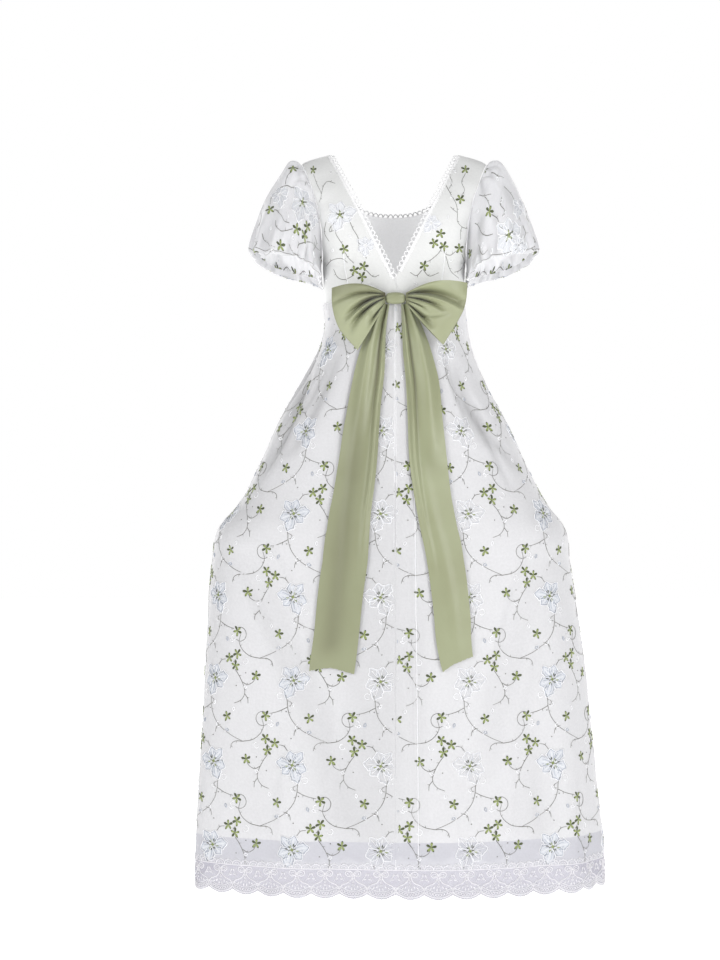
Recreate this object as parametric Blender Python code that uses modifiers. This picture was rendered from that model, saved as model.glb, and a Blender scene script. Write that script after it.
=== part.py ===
"""Puff sleeve maxi dress with a deep V back, a satin bow and a lace hem.

The dress keeps the hollow shape it has when it is worn, with the skirt held out to both sides.
+Z is up, the front faces -Y, the wearer's left is +X, and the origin is midway between the tops
of the shoulder seams. All lengths are in metres.
"""

import math

import bmesh
import bpy
import numpy as np
from mathutils import Vector

# Walls and gaps
CLOTH_WALL = 0.0012
RIBBON_WALL = 0.0012
BRAID_WALL = 0.0010
SEAM_GAP = 0.0003
PANEL_GAP = 0.0009
BODICE_SEAM_GAP = 0.0016

# Bodice
NECK_HALF_WIDTH = 0.121
BACK_V_FOOT_Z = -0.244
FRONT_NECK_Z = -0.105
WAIST_Z = -0.2832
WAIST_HALF_WIDTH = 0.131
WAIST_BACK_DEPTH = 0.1035
WAIST_FRONT_DEPTH = 0.106
UPPER_FRONT_DEPTH = 0.117
BACK_CROSSING = 0.011
ARMHOLE_TOP = (0.1740, -0.0200)
ARMHOLE_UNDER = (0.1350, -0.2020)
ARMHOLE_REACH = 0.060
ARMHOLE_SCOOP = 0.012
BODICE_PANEL_COLUMNS = 9
BUST = {"x": 0.078, "z": -0.178, "width": 0.045, "height": 0.050, "depth": 0.016}

# Rows of the bodice: degrees round the armhole, share of the side seam below it, share of the
# way down the back edge (1 is the foot of the V, 1.2 the waist), and of the way along the front
# edge (1 is the middle of the neckline, 2 the waist)
BODICE_COLUMNS = ("armhole", "side", "back", "front")
BODICE_ROWS = (
    (0.0, 0.0, 0.000, 0.00),
    (32.0, 0.0, 0.080, 0.14),
    (58.0, 0.0, 0.215, 0.32),
    (84.0, 0.0, 0.380, 0.55),
    (110.0, 0.0, 0.560, 0.78),
    (136.0, 0.0, 0.720, 1.00),
    (158.0, 0.0, 0.850, 1.30),
    (180.0, 0.0, 0.940, 1.60),
    (180.0, 0.5, 1.000, 1.85),
    (180.0, 1.0, 1.200, 2.00),
)

# Braid along the neck
BRAID_PITCH = 0.0105
BRAID_WIDTH = 0.0080
BRAID_LOOP = 0.0042
BRAID_START = 0.020
BRAID_END = {1: 0.990, -1: 0.930}

# Rings of a sleeve from the armhole to the turned-in lower edge: its top and underarm points,
# its reach to the back and the front, how far both lean to the body, and how far they are raised,
# the back most near the underarm and the front most near the outer side
SLEEVE_COLUMNS = (
    "top_x", "top_z", "under_x", "under_z", "back", "front", "lean", "raise_back", "raise_front"
)
SLEEVE_ROWS = (
    (0.1758, -0.0200, 0.1368, -0.2020, 0.0608, 0.0608, 0.012, 0.000, 0.000),
    (0.1880, -0.0110, 0.1395, -0.2090, 0.0710, 0.0690, 0.009, 0.000, 0.000),
    (0.2020, -0.0145, 0.1405, -0.2190, 0.0830, 0.0780, 0.008, 0.002, 0.000),
    (0.2200, -0.0440, 0.1410, -0.2300, 0.0950, 0.0880, 0.010, 0.005, 0.000),
    (0.2410, -0.0820, 0.1405, -0.2400, 0.1010, 0.0940, 0.014, 0.010, 0.000),
    (0.2570, -0.1260, 0.1395, -0.2480, 0.1000, 0.0940, 0.016, 0.013, -0.002),
    (0.2715, -0.1740, 0.1390, -0.2540, 0.0890, 0.0880, 0.018, 0.018, -0.008),
    (0.2690, -0.1890, 0.1400, -0.2515, 0.0780, 0.0780, 0.014, 0.020, -0.010),
    (0.2600, -0.1800, 0.1440, -0.2370, 0.0660, 0.0660, 0.010, 0.017, -0.010),
)
SLEEVE_AROUND = 36
SLEEVE_GATHERS = 12
CAP_GATHER_DEPTH = 0.0032
CUFF_GATHER_DEPTH = 0.0040

# Skirt sections from the waist down: height, reach to the wearer's left and right,
# reach to the back and the front, and how square the section is (2 is an ellipse)
SKIRT_COLUMNS = ("z", "left", "right", "back", "front", "squareness")
SKIRT_ROWS = (
    (-0.2838, 0.1310, 0.1310, 0.1035, 0.1060, 2.05),
    (-0.3250, 0.1310, 0.1390, 0.1095, 0.1150, 2.05),
    (-0.3660, 0.1420, 0.1460, 0.1145, 0.1240, 2.10),
    (-0.4270, 0.1740, 0.1700, 0.1215, 0.1340, 2.15),
    (-0.4970, 0.2140, 0.2070, 0.1310, 0.1430, 2.20),
    (-0.5980, 0.2600, 0.2550, 0.1430, 0.1530, 2.25),
    (-0.6680, 0.2980, 0.2930, 0.1500, 0.1580, 2.30),
    (-0.7050, 0.3310, 0.3220, 0.1530, 0.1600, 2.30),
    (-0.7690, 0.3440, 0.3325, 0.1580, 0.1630, 2.40),
    (-0.8910, 0.3540, 0.3500, 0.1670, 0.1710, 2.50),
    (-0.9850, 0.3600, 0.3610, 0.1735, 0.1780, 2.55),
    (-1.0800, 0.3640, 0.3690, 0.1800, 0.1840, 2.60),
    (-1.2000, 0.3705, 0.3790, 0.1875, 0.1920, 2.63),
    (-1.3232, 0.3735, 0.3895, 0.1950, 0.2000, 2.65),
    (-1.3900, 0.3735, 0.3905, 0.1980, 0.2030, 2.65),
)
SKIRT_AROUND = 76
WAIST_GATHERS = 38
WAIST_GATHER_DEPTH = 0.0040
WAIST_GATHER_LENGTH = 0.075
LINING_STEP = 2
LINING_HEM_Z = -1.2740
LINING_INSET = 0.0016
LINING_INSET_BELOW = 0.0100
LINING_INSET_Z = -0.3900

# Drag folds of the skirt: each is a soft trough between two places on the back (1) or front (-1)
FOLD_COLUMNS = ("face", "top_x", "top_z", "low_x", "low_z", "bow", "width", "depth")
SKIRT_FOLDS = (
    (1, 0.145, -0.345, 0.240, -0.600, -0.006, 0.015, 0.009),
    (1, 0.108, -0.375, 0.200, -0.575, -0.006, 0.013, 0.008),
    (1, 0.283, -0.740, 0.095, -1.240, -0.020, 0.030, 0.014),
    (1, -0.108, -0.390, -0.178, -0.560, 0.004, 0.013, 0.007),
    (1, -0.122, -0.450, -0.235, -0.600, 0.005, 0.013, 0.006),
    (1, -0.290, -0.745, -0.160, -1.160, 0.018, 0.030, 0.009),
    (1, -0.036, -0.700, -0.044, -1.340, 0.000, 0.014, 0.006),
    (-1, 0.095, -0.360, 0.225, -0.610, -0.006, 0.016, 0.010),
    (-1, -0.100, -0.370, -0.215, -0.600, 0.006, 0.015, 0.009),
    (-1, 0.270, -0.750, 0.100, -1.270, -0.018, 0.032, 0.013),
    (-1, -0.280, -0.750, -0.120, -1.260, 0.020, 0.030, 0.012),
    (-1, 0.020, -0.620, 0.010, -1.330, 0.004, 0.024, 0.008),
)
# Soft waves of the skirt that grow towards the hem
WAVE_COLUMNS = ("waves", "depth", "turn")
HEM_WAVES = ((5, 0.0060, 0.4), (9, 0.0045, 1.9), (14, 0.0022, 0.8))
HEM_WAVE_START_Z = -0.80

# Lace at the hem
LACE_TOP_Z = -1.3235
LACE_BOTTOM_Z = -1.3770
LACE_SCALLOPS = 38
LACE_SCALLOP_DEPTH = 0.0085
LACE_COLUMNS_PER_SCALLOP = 3
LACE_LINES = 2

# Bow
KNOT_CENTRE = (-0.0010, 0.1156, -0.2815)
KNOT_SIZE = (0.0375, 0.0135, 0.0205)
KNOT_ROUNDING = 0.0050
LOOP_ROOT_HALF_HEIGHT = 0.0095
LOOP_ACROSS = 8
LOOP_ALONG = 7
LOOP_PLEATS = 3
LOOP_PLEAT_DEPTH = 0.0042
LOOP_ARCH = 0.010
LOOP_FRONT_Y = 0.1215
LOOP_BACK_Y = 0.1182
LOOP_FOLD_Y = 0.1245
LOOP_BELLY = 0.020
# Outer fold of each loop, from its upper to its lower corner: x, z
LOOP_FOLDS = {
    1: ((0.1130, -0.2660), (0.1110, -0.3060), (0.1020, -0.3360), (0.0700, -0.3800)),
    -1: ((-0.1320, -0.2535), (-0.1285, -0.2930), (-0.1160, -0.3200), (-0.0900, -0.3690)),
}
# Each tail from the knot down: height, inner edge, outer edge
TAIL_COLUMNS = ("z", "inner", "outer")
TAIL_ROWS = {
    1: (
        (-0.2921, 0.0095, 0.0255),
        (-0.3300, 0.0150, 0.0440),
        (-0.3840, 0.0178, 0.0650),
        (-0.4330, 0.0190, 0.0765),
        (-0.5066, 0.0230, 0.0889),
        (-0.5970, 0.0294, 0.0990),
        (-0.6870, 0.0400, 0.1200),
        (-0.7640, 0.0450, 0.1320),
        (-0.8360, 0.0540, 0.1410),
        (-0.9080, 0.0626, 0.1490),
        (-0.9690, 0.0720, 0.1577),
    ),
    -1: (
        (-0.2921, -0.0110, -0.0270),
        (-0.3300, -0.0125, -0.0470),
        (-0.3840, -0.0150, -0.0670),
        (-0.4330, -0.0193, -0.0790),
        (-0.5066, -0.0228, -0.0865),
        (-0.5730, -0.0252, -0.0955),
        (-0.6870, -0.0416, -0.1119),
        (-0.7640, -0.0570, -0.1250),
        (-0.8360, -0.0665, -0.1330),
        (-0.9080, -0.0758, -0.1404),
        (-0.9590, -0.0900, -0.1480),
    ),
}
TAIL_ACROSS = 6
TAIL_CLEARANCE = 0.0045
TAIL_PLEAT_DEPTH = 0.0035
TAIL_TOP_LIFT = 0.0012
TAIL_END_SLANT = 0.0075

SIDES = {"left": 1, "right": -1}

ORGANZA_WHITE = (0.86, 0.87, 0.88, 1.0)
LINING_WHITE = (0.90, 0.90, 0.91, 1.0)
LACE_WHITE = (0.84, 0.85, 0.89, 1.0)
SATIN_GREEN = (0.36, 0.40, 0.24, 1.0)


def clear_scene():
    for obj in list(bpy.data.objects):
        bpy.data.objects.remove(obj, do_unlink=True)


def make_material(name, colour, roughness):
    material = bpy.data.materials.new(name)
    material.use_nodes = True
    shader = material.node_tree.nodes["Principled BSDF"]
    shader.inputs["Base Color"].default_value = colour
    shader.inputs["Roughness"].default_value = roughness
    shader.inputs["Metallic"].default_value = 0.0
    return material


def smooth_step(low, high, value):
    share = min(max((value - low) / (high - low), 0.0), 1.0)
    return share * share * (3.0 - 2.0 * share)


def read_table(columns, rows, steps, place):
    """The named values of a table at a place between its rows."""
    numbers = np.array(rows)
    return {name: float(np.interp(place, steps, numbers[:, column])) for column, name in enumerate(columns)}


def mirrored(point, side):
    return Vector((point.x * side, point.y, point.z))


def finish_cloth(name, mesh, collection, material, wall):
    """Puts an open surface in the collection and gives it the thickness of its cloth."""
    mesh.materials.append(material)
    mesh.shade_smooth()
    piece = bpy.data.objects.new(name, mesh)
    collection.objects.link(piece)
    thickness = piece.modifiers.new("wall", "SOLIDIFY")
    thickness.thickness = wall
    thickness.offset = 0.0
    thickness.use_rim = True


def make_cloth(name, rows, collection, material, wall, ring=False):
    """One piece of cloth from rows of points, which a ring joins end to end."""
    shape = bmesh.new()
    lines = [[shape.verts.new(point) for point in row] for row in rows]
    across = len(rows[0])
    for upper, lower in zip(lines, lines[1:]):
        for column in range(across if ring else across - 1):
            after = (column + 1) % across
            shape.faces.new((upper[column], lower[column], lower[after], upper[after]))
    mesh = bpy.data.meshes.new(name)
    shape.to_mesh(mesh)
    shape.free()
    finish_cloth(name, mesh, collection, material, wall)


def skirt_section(angle, z):
    """Point of the smooth skirt; the angle turns from the centre back to the wearer's left."""
    row = read_table(SKIRT_COLUMNS, SKIRT_ROWS, [-row[0] for row in SKIRT_ROWS], -z)
    power = 2.0 / row["squareness"]
    sine, cosine = math.sin(angle), math.cos(angle)
    reach = row["left"] if sine >= 0.0 else row["right"]
    depth = row["back"] if cosine >= 0.0 else row["front"]
    x = math.copysign(reach * abs(sine) ** power, sine)
    y = math.copysign(depth * abs(cosine) ** power, cosine)
    return Vector((x, y, z))


def fold_depth(point, angle):
    """How far the drag folds and the hem waves move the skirt in or out at a point."""
    depth = 0.0
    for values in SKIRT_FOLDS:
        fold = dict(zip(FOLD_COLUMNS, values))
        share = (point.z - fold["top_z"]) / (fold["low_z"] - fold["top_z"])
        if not 0.0 < share < 1.0 or point.y * fold["face"] < 0.0:
            continue
        swell = math.sin(math.pi * share)
        middle = fold["top_x"] + (fold["low_x"] - fold["top_x"]) * share + fold["bow"] * swell
        aside = (point.x - middle) / fold["width"]
        depth -= fold["depth"] * swell ** 0.6 * math.exp(-aside * aside)
    fall = smooth_step(-HEM_WAVE_START_Z, -LACE_BOTTOM_Z, -point.z)
    for values in HEM_WAVES:
        wave = dict(zip(WAVE_COLUMNS, values))
        depth += fall * wave["depth"] * math.cos(wave["waves"] * angle + wave["turn"])
    return depth


def outward(angle, z):
    """Level direction that points out of the smooth skirt."""
    step = 0.004
    along = (skirt_section(angle + step, z) - skirt_section(angle - step, z)).normalized()
    return Vector((-along.y, along.x, 0.0))


def skirt_point(angle, z, out=0.0, gather=0.0):
    """Point of the draped skirt, moved out from it, with the waist gathers fading below the waist."""
    point = skirt_section(angle, z)
    gathered = gather * (1.0 - smooth_step(0.0, WAIST_GATHER_LENGTH, WAIST_Z - z))
    return point + outward(angle, z) * (fold_depth(point, angle) + gathered + out)


def even_angles(count, z):
    """Angles that part the skirt's section at one height into equal lengths."""
    fine = np.linspace(0.0, 2.0 * math.pi, 1441)
    points = np.array([skirt_section(angle, z) for angle in fine])
    length = np.concatenate([[0.0], np.cumsum(np.linalg.norm(np.diff(points, axis=0), axis=1))])
    return np.interp(np.linspace(0.0, length[-1], count + 1), length, fine)


def seam_angles(angles, first, last, z):
    """The angles of one panel, its two edges moved in by half the gap at the seam."""
    around = len(angles) - 1
    full = 2.0 * math.pi
    chosen = [angles[place % around] - (full if place < 0 else 0.0) for place in range(first, last + 1)]
    if last == around:
        chosen[-1] = full
    for edge, turn in ((0, 0.01), (-1, -0.01)):
        reach = (skirt_section(chosen[edge] + turn, z) - skirt_section(chosen[edge], z)).length
        chosen[edge] += 0.5 * PANEL_GAP * turn / reach
    return chosen


def skirt_gather(place):
    """Depth of the gathers at one of the skirt's columns."""
    return WAIST_GATHER_DEPTH * (0.5 + 0.5 * math.cos(2.0 * math.pi * WAIST_GATHERS * place / SKIRT_AROUND))


def skirt_heights(lowest):
    return [row[0] for row in SKIRT_ROWS if row[0] > lowest] + [lowest]


def make_skirt(collection, organza):
    angles = even_angles(SKIRT_AROUND, LACE_TOP_Z)
    left_side = SKIRT_AROUND // 4
    right_side = SKIRT_AROUND - left_side
    panels = (
        ("skirt_back_left", 0, left_side),
        ("skirt_front", left_side, right_side),
        ("skirt_back_right", right_side, SKIRT_AROUND),
    )
    for name, first, last in panels:
        rows = []
        for z in skirt_heights(LACE_TOP_Z + SEAM_GAP):
            turns = enumerate(seam_angles(angles, first, last, z), first)
            rows.append([skirt_point(angle, z, 0.0, skirt_gather(place)) for place, angle in turns])
        make_cloth(name, rows, collection, organza, CLOTH_WALL)


def make_lining(collection, lining):
    """The lining follows the skirt inside it, on every second column, and ends above the lace."""
    angles = even_angles(SKIRT_AROUND, LACE_TOP_Z)
    left_side = SKIRT_AROUND // 4
    right_side = SKIRT_AROUND - left_side
    halves = (("lining_back", -left_side, left_side), ("lining_front", left_side, right_side))
    for name, first, last in halves:
        rows = []
        for z in skirt_heights(LINING_HEM_Z):
            lower = smooth_step(-WAIST_Z, -LINING_INSET_Z, -z)
            inset = LINING_INSET + (LINING_INSET_BELOW - LINING_INSET) * lower
            turns = seam_angles(angles, first, last, z)
            chosen = turns[:-1:LINING_STEP] + turns[-1:]
            rows.append([skirt_point(angle, z, -inset) for angle in chosen])
        make_cloth(name, rows, collection, lining, CLOTH_WALL)


def make_lace(collection, lace):
    columns = LACE_SCALLOPS * LACE_COLUMNS_PER_SCALLOP
    angles = even_angles(columns, LACE_TOP_Z)
    left_side = round(columns / 4)
    right_side = columns - left_side
    halves = (("lace_hem_back", -left_side, left_side), ("lace_hem_front", left_side, right_side))
    for name, first, last in halves:
        rows = []
        for line in range(LACE_LINES + 1):
            row = []
            for place, angle in enumerate(seam_angles(angles, first, last, LACE_TOP_Z), first):
                scallop = abs(math.sin(math.pi * place / LACE_COLUMNS_PER_SCALLOP))
                bottom = LACE_BOTTOM_Z + LACE_SCALLOP_DEPTH * (1.0 - scallop)
                row.append(skirt_point(angle, LACE_TOP_Z + (bottom - LACE_TOP_Z) * line / LACE_LINES))
            rows.append(row)
        make_cloth(name, rows, collection, lace, CLOTH_WALL)


def armhole_point(degrees, face):
    """Point of the armhole edge: 0 degrees at the shoulder, 180 under the arm, face 1 at the back."""
    turn = math.radians(degrees)
    top, under = Vector(ARMHOLE_TOP), Vector(ARMHOLE_UNDER)
    middle, half = (top + under) * 0.5, (top - under) * 0.5
    x = middle.x + half.x * math.cos(turn) - ARMHOLE_SCOOP * math.sin(turn) ** 2
    y = ARMHOLE_REACH * math.sin(turn) + 0.5 * BODICE_SEAM_GAP
    return Vector((x, face * y, middle.y + half.y * math.cos(turn)))


def side_point(share, face):
    """Point of the side seam, from under the arm to the waist."""
    waist = Vector((WAIST_HALF_WIDTH, face * 0.5 * BODICE_SEAM_GAP, WAIST_Z))
    return armhole_point(180.0, face).lerp(waist, share)


def back_edge(share, crossing):
    """Edge of a back panel: down the V, then along the slanted crossing to the waist."""
    down = min(share, 1.0)
    x = NECK_HALF_WIDTH * (1.0 - down) + 0.5 * PANEL_GAP
    y = WAIST_BACK_DEPTH * (1.0 - (1.0 - down) ** 2.8) + 0.5 * BODICE_SEAM_GAP
    z = BACK_V_FOOT_Z * down
    if share > 1.0:
        past = (share - 1.0) / (BODICE_ROWS[-1][2] - 1.0)
        x += crossing * past
        z += (WAIST_Z - BACK_V_FOOT_Z) * past
    return Vector((x, y, z))


def front_edge(share):
    """Edge of a front half: round the scoop neck, then down the centre front to the waist."""
    along, past = min(share, 1.0), max(share - 1.0, 0.0)
    turn = 0.5 * math.pi * along
    x = NECK_HALF_WIDTH * math.cos(turn) ** 0.8 if share < 1.0 else 0.0
    y = UPPER_FRONT_DEPTH * (1.0 - (1.0 - along) ** 2.2) + 0.5 * BODICE_SEAM_GAP
    y += (WAIST_FRONT_DEPTH - UPPER_FRONT_DEPTH) * smooth_step(0.55, 1.0, past)
    z = FRONT_NECK_Z * math.sin(turn) + (WAIST_Z - FRONT_NECK_Z) * past
    return Vector((x, -y, z))


def bodice_point(place, across, face, crossing=0.0):
    """Point of the bodice: place from the shoulder (0) to the waist (1), across from the neck or
    centre edge (0) to the armhole or side edge (1), on the back (face 1) or the front (face -1)."""
    row = read_table(BODICE_COLUMNS, BODICE_ROWS, np.linspace(0.0, 1.0, len(BODICE_ROWS)), place)
    inner = back_edge(row["back"], crossing) if face > 0 else front_edge(row["front"])
    outer = side_point(row["side"], face) if row["side"] > 0.0 else armhole_point(row["armhole"], face)
    turn = 0.5 * math.pi * across
    x = inner.x + (outer.x - inner.x) * math.sin(turn)
    y = outer.y + (inner.y - outer.y) * math.cos(turn)
    z = inner.z + (outer.z - inner.z) * across
    if face < 0:
        away = ((x - BUST["x"]) / BUST["width"]) ** 2 + ((z - BUST["z"]) / BUST["height"]) ** 2
        y -= BUST["depth"] * math.exp(-away)
    return Vector((x, y, z))


def bodice_grid(side, face, crossing=0.0):
    places = [row / (len(BODICE_ROWS) - 1) for row in range(len(BODICE_ROWS))]
    shares = [column / BODICE_PANEL_COLUMNS for column in range(BODICE_PANEL_COLUMNS + 1)]
    rows = [[bodice_point(place, share, face, crossing) for share in shares] for place in places]
    return [[mirrored(point, side) for point in row] for row in rows]


def make_back_bodice(collection, organza):
    for name, side in SIDES.items():
        rows = bodice_grid(side, 1, -side * BACK_CROSSING)
        if side < 0:
            rows = [row[::-1] for row in rows]
        make_cloth("bodice_back_" + name, rows, collection, organza, CLOTH_WALL)


def make_front_bodice(collection, organza):
    """Two halves that meet down the centre front and part at the neckline."""
    shape = bmesh.new()
    for side in SIDES.values():
        lines = [[shape.verts.new(point) for point in row] for row in bodice_grid(side, -1)]
        for upper, lower in zip(lines, lines[1:]):
            for column in range(BODICE_PANEL_COLUMNS):
                corners = (upper[column], upper[column + 1], lower[column + 1], lower[column])
                shape.faces.new(corners if side > 0 else corners[::-1])
    bmesh.ops.remove_doubles(shape, verts=shape.verts[:], dist=0.00005)
    mesh = bpy.data.meshes.new("bodice_front")
    shape.to_mesh(mesh)
    shape.free()
    finish_cloth("bodice_front", mesh, collection, organza, CLOTH_WALL)


def sleeve_point(ring, degrees):
    """Point of the left sleeve: degrees run from the top (0) over the back (90) to under the arm (180)."""
    row = read_table(SLEEVE_COLUMNS, SLEEVE_ROWS, range(len(SLEEVE_ROWS)), ring)
    turn = math.radians(degrees)
    sine, cosine = math.sin(turn), math.cos(turn)
    top, under = Vector((row["top_x"], 0.0, row["top_z"])), Vector((row["under_x"], 0.0, row["under_z"]))
    centre, half = (top + under) * 0.5, (top - under) * 0.5
    inner, outer = 1.0 - 0.85 * cosine, 1.0 + 1.5 * cosine
    raised = (row["raise_back"] * inner if sine > 0.0 else row["raise_front"] * outer) * abs(sine)
    reach = (row["back"] if sine > 0.0 else row["front"]) * sine
    point = centre + half * cosine + Vector((-row["lean"] * sine * sine, reach, raised))
    cap = smooth_step(0.0, 0.8, ring) * (1.0 - smooth_step(1.0, 3.5, ring)) * max(cosine, 0.0) ** 0.5
    last = len(SLEEVE_ROWS) - 1
    cuff = smooth_step(4.5, 6.0, ring) * (1.0 - 0.4 * smooth_step(last - 1.0, last, ring))
    swell = math.cos(SLEEVE_GATHERS * turn) * (CAP_GATHER_DEPTH * cap + CUFF_GATHER_DEPTH * cuff)
    return point + (point - centre).normalized() * swell


def make_sleeves(collection, organza):
    turns = [360.0 * step / SLEEVE_AROUND for step in range(SLEEVE_AROUND)]
    for name, side in SIDES.items():
        rings = range(len(SLEEVE_ROWS))
        rows = [[mirrored(sleeve_point(ring, turn), side) for turn in turns] for ring in rings]
        if side > 0:
            rows = [row[::-1] for row in rows]
        make_cloth("sleeve_" + name, rows, collection, organza, CLOTH_WALL, ring=True)


def edge_frame(place, face, crossing):
    """The neck edge at one place, with the directions into the panel and out of the cloth."""
    edge = bodice_point(place, 0.0, face, crossing)
    step = 0.01
    if place < step:
        along = (bodice_point(place + step, 0.0, face, crossing) - edge).normalized()
    else:
        along = (edge - bodice_point(place - step, 0.0, face, crossing)).normalized()
    inside = (bodice_point(place + 2.0 * step, 0.06, face, crossing) - edge).normalized()
    normal = along.cross(inside).normalized()
    if normal.y * face + 0.5 * normal.z < 0.0:
        normal = -normal
    inward = (inside - along * inside.dot(along)).normalized()
    return edge, inward, normal


def braid_lines(places, side, face, crossing=0.0):
    """Two lines of a scalloped strip on the neck edge: loops beyond it and a border inside it."""
    loops, border = [], []
    lift = 0.5 * CLOTH_WALL + 0.5 * BRAID_WALL + SEAM_GAP
    for number, place in enumerate(places):
        edge, inward, normal = edge_frame(place, face, crossing)
        reach = BRAID_LOOP if number % 2 else 0.25 * BRAID_LOOP
        loops.append(mirrored(edge + normal * lift - inward * reach, side))
        border.append(mirrored(edge + normal * lift + inward * BRAID_WIDTH, side))
    return loops, border


def braid_places(start, end, column, face, crossing=0.0):
    """Places along the neck edge, evenly spaced, two to each loop of the braid."""
    shares = [row[column] for row in BODICE_ROWS]
    lowest, highest = np.interp((start, end), shares, np.linspace(0.0, 1.0, len(shares)))
    fine = np.linspace(lowest, highest, 161)
    points = np.array([bodice_point(place, 0.0, face, crossing) for place in fine])
    length = np.concatenate([[0.0], np.cumsum(np.linalg.norm(np.diff(points, axis=0), axis=1))])
    loops = round(length[-1] / BRAID_PITCH)
    return np.interp(np.linspace(0.0, length[-1], 2 * loops + 1), length, fine)


def make_braid(collection, lace):
    for name, side in SIDES.items():
        crossing = -side * BACK_CROSSING
        places = braid_places(BRAID_START, BRAID_END[side], 2, 1, crossing)
        lines = braid_lines(places, side, 1, crossing)
        if side > 0:
            lines = [line[::-1] for line in lines]
        make_cloth("braid_back_" + name, lines, collection, lace, BRAID_WALL)

    places = braid_places(BRAID_START, 1.0, 3, -1)
    lines = []
    for left, right in zip(braid_lines(places, 1, -1), braid_lines(places, -1, -1)):
        middle = Vector((0.0, left[-1].y, left[-1].z))
        lines.append(left[:-1] + [middle] + right[-2::-1])
    make_cloth("braid_front", lines, collection, lace, BRAID_WALL)


def loop_point(side, down, column):
    """Point of a bow loop: down runs from its upper to its lower edge, and the columns run out along
    the front, round the outer fold and back behind."""
    out = 1.0 - abs(column / LOOP_ALONG - 1.0)
    steps = np.linspace(0.0, 1.0, len(LOOP_FOLDS[side]))
    fold = read_table(("x", "z"), LOOP_FOLDS[side], steps, down)
    root_x = KNOT_CENTRE[0] + side * (0.5 * KNOT_SIZE[0] + SEAM_GAP)
    root_z = KNOT_CENTRE[2] + LOOP_ROOT_HALF_HEIGHT * (1.0 - 2.0 * down)
    arch = math.sin(math.pi * out)
    x = root_x + (fold["x"] - root_x) * out
    z = root_z + (fold["z"] - root_z) * out ** 0.9 + LOOP_ARCH * arch * (1.0 - down) ** 2
    belly = arch ** 0.8
    pleat = math.cos(2.0 * math.pi * LOOP_PLEATS * down) * belly * (1.0 - 0.6 * out)
    if column == LOOP_ALONG:
        return Vector((x + side * 0.002, LOOP_FOLD_Y, z))
    if column < LOOP_ALONG:
        return Vector((x, LOOP_FRONT_Y + 0.004 * out + LOOP_BELLY * belly + LOOP_PLEAT_DEPTH * pleat, z))
    return Vector((x, LOOP_BACK_Y + 0.006 * out - 0.001 * belly, z))


def make_loops(collection, satin):
    for name, side in SIDES.items():
        columns = range(2 * LOOP_ALONG + 1)
        downs = [step / LOOP_ACROSS for step in range(LOOP_ACROSS + 1)]
        rows = [[loop_point(side, down, column) for column in columns] for down in downs]
        if side > 0:
            rows = [row[::-1] for row in rows]
        make_cloth("bow_loop_" + name, rows, collection, satin, RIBBON_WALL)


def back_angle(x, z):
    """Angle of the place on the skirt's back that lies at one distance from the centre."""
    low, high = -0.5 * math.pi, 0.5 * math.pi
    for _ in range(40):
        middle = 0.5 * (low + high)
        if skirt_section(middle, z).x < x:
            low = middle
        else:
            high = middle
    return 0.5 * (low + high)


def facet_point(angle, z, out):
    """Place over the skirt's back as its facets lie, moved out from them."""
    angles = even_angles(SKIRT_AROUND, LACE_TOP_Z)
    heights = skirt_heights(LACE_TOP_Z + SEAM_GAP)
    turn = angle % (2.0 * math.pi)
    column = min(int(np.searchsorted(angles, turn, side="right")) - 1, SKIRT_AROUND - 1)
    row = next(number for number, height in enumerate(heights[1:]) if z >= height)
    across = (turn - angles[column]) / (angles[column + 1] - angles[column])
    down = (heights[row] - z) / (heights[row] - heights[row + 1])
    sides = []
    for height in heights[row : row + 2]:
        places = (column, column + 1)
        ends = [skirt_point(angles[place], height, 0.0, skirt_gather(place)) for place in places]
        sides.append(ends[0].lerp(ends[1], across))
    return sides[0].lerp(sides[1], down) + outward(angle, z) * out


def make_tails(collection, satin):
    """The tails lie on the skirt's back, pleated under the knot and flat below."""
    for name, side in SIDES.items():
        rows = []
        for values in TAIL_ROWS[side]:
            tail = dict(zip(TAIL_COLUMNS, values))
            gathered = 1.0 - smooth_step(0.30, 0.62, -tail["z"])
            lift = TAIL_CLEARANCE + TAIL_TOP_LIFT * (1.0 - smooth_step(0.29, 0.34, -tail["z"]))
            row = []
            for column in range(TAIL_ACROSS + 1):
                share = column / TAIL_ACROSS
                x = tail["inner"] + (tail["outer"] - tail["inner"]) * share
                slant = TAIL_END_SLANT * (2.0 * share - 1.0) if values == TAIL_ROWS[side][-1] else 0.0
                z = tail["z"] + slant
                pleat = TAIL_PLEAT_DEPTH * gathered * (0.5 + 0.5 * math.cos(math.pi * column))
                row.append(facet_point(back_angle(x, z), z, lift + pleat))
            rows.append(row if side > 0 else row[::-1])
        make_cloth("bow_tail_" + name, rows, collection, satin, RIBBON_WALL)


def make_knot(collection, satin):
    bpy.ops.mesh.primitive_cube_add(size=1.0, location=KNOT_CENTRE)
    knot = bpy.context.object
    knot.name = "bow_knot"
    for vertex in knot.data.vertices:
        vertex.co = [length * share for length, share in zip(KNOT_SIZE, vertex.co)]
    rounding = knot.modifiers.new("rounding", "BEVEL")
    rounding.width = KNOT_ROUNDING
    rounding.segments = 3
    knot.data.materials.append(satin)
    for owner in list(knot.users_collection):
        owner.objects.unlink(knot)
    collection.objects.link(knot)


def build():
    clear_scene()
    collection = bpy.data.collections.new("puff_sleeve_maxi_dress")
    bpy.context.scene.collection.children.link(collection)
    organza = make_material("embroidered_organza", ORGANZA_WHITE, 0.75)
    lining = make_material("white_lining", LINING_WHITE, 0.65)
    lace = make_material("white_lace", LACE_WHITE, 0.85)
    satin = make_material("green_satin", SATIN_GREEN, 0.35)
    make_back_bodice(collection, organza)
    make_front_bodice(collection, organza)
    make_sleeves(collection, organza)
    make_braid(collection, lace)
    make_skirt(collection, organza)
    make_lining(collection, lining)
    make_lace(collection, lace)
    make_loops(collection, satin)
    make_tails(collection, satin)
    make_knot(collection, satin)


build()
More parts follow.
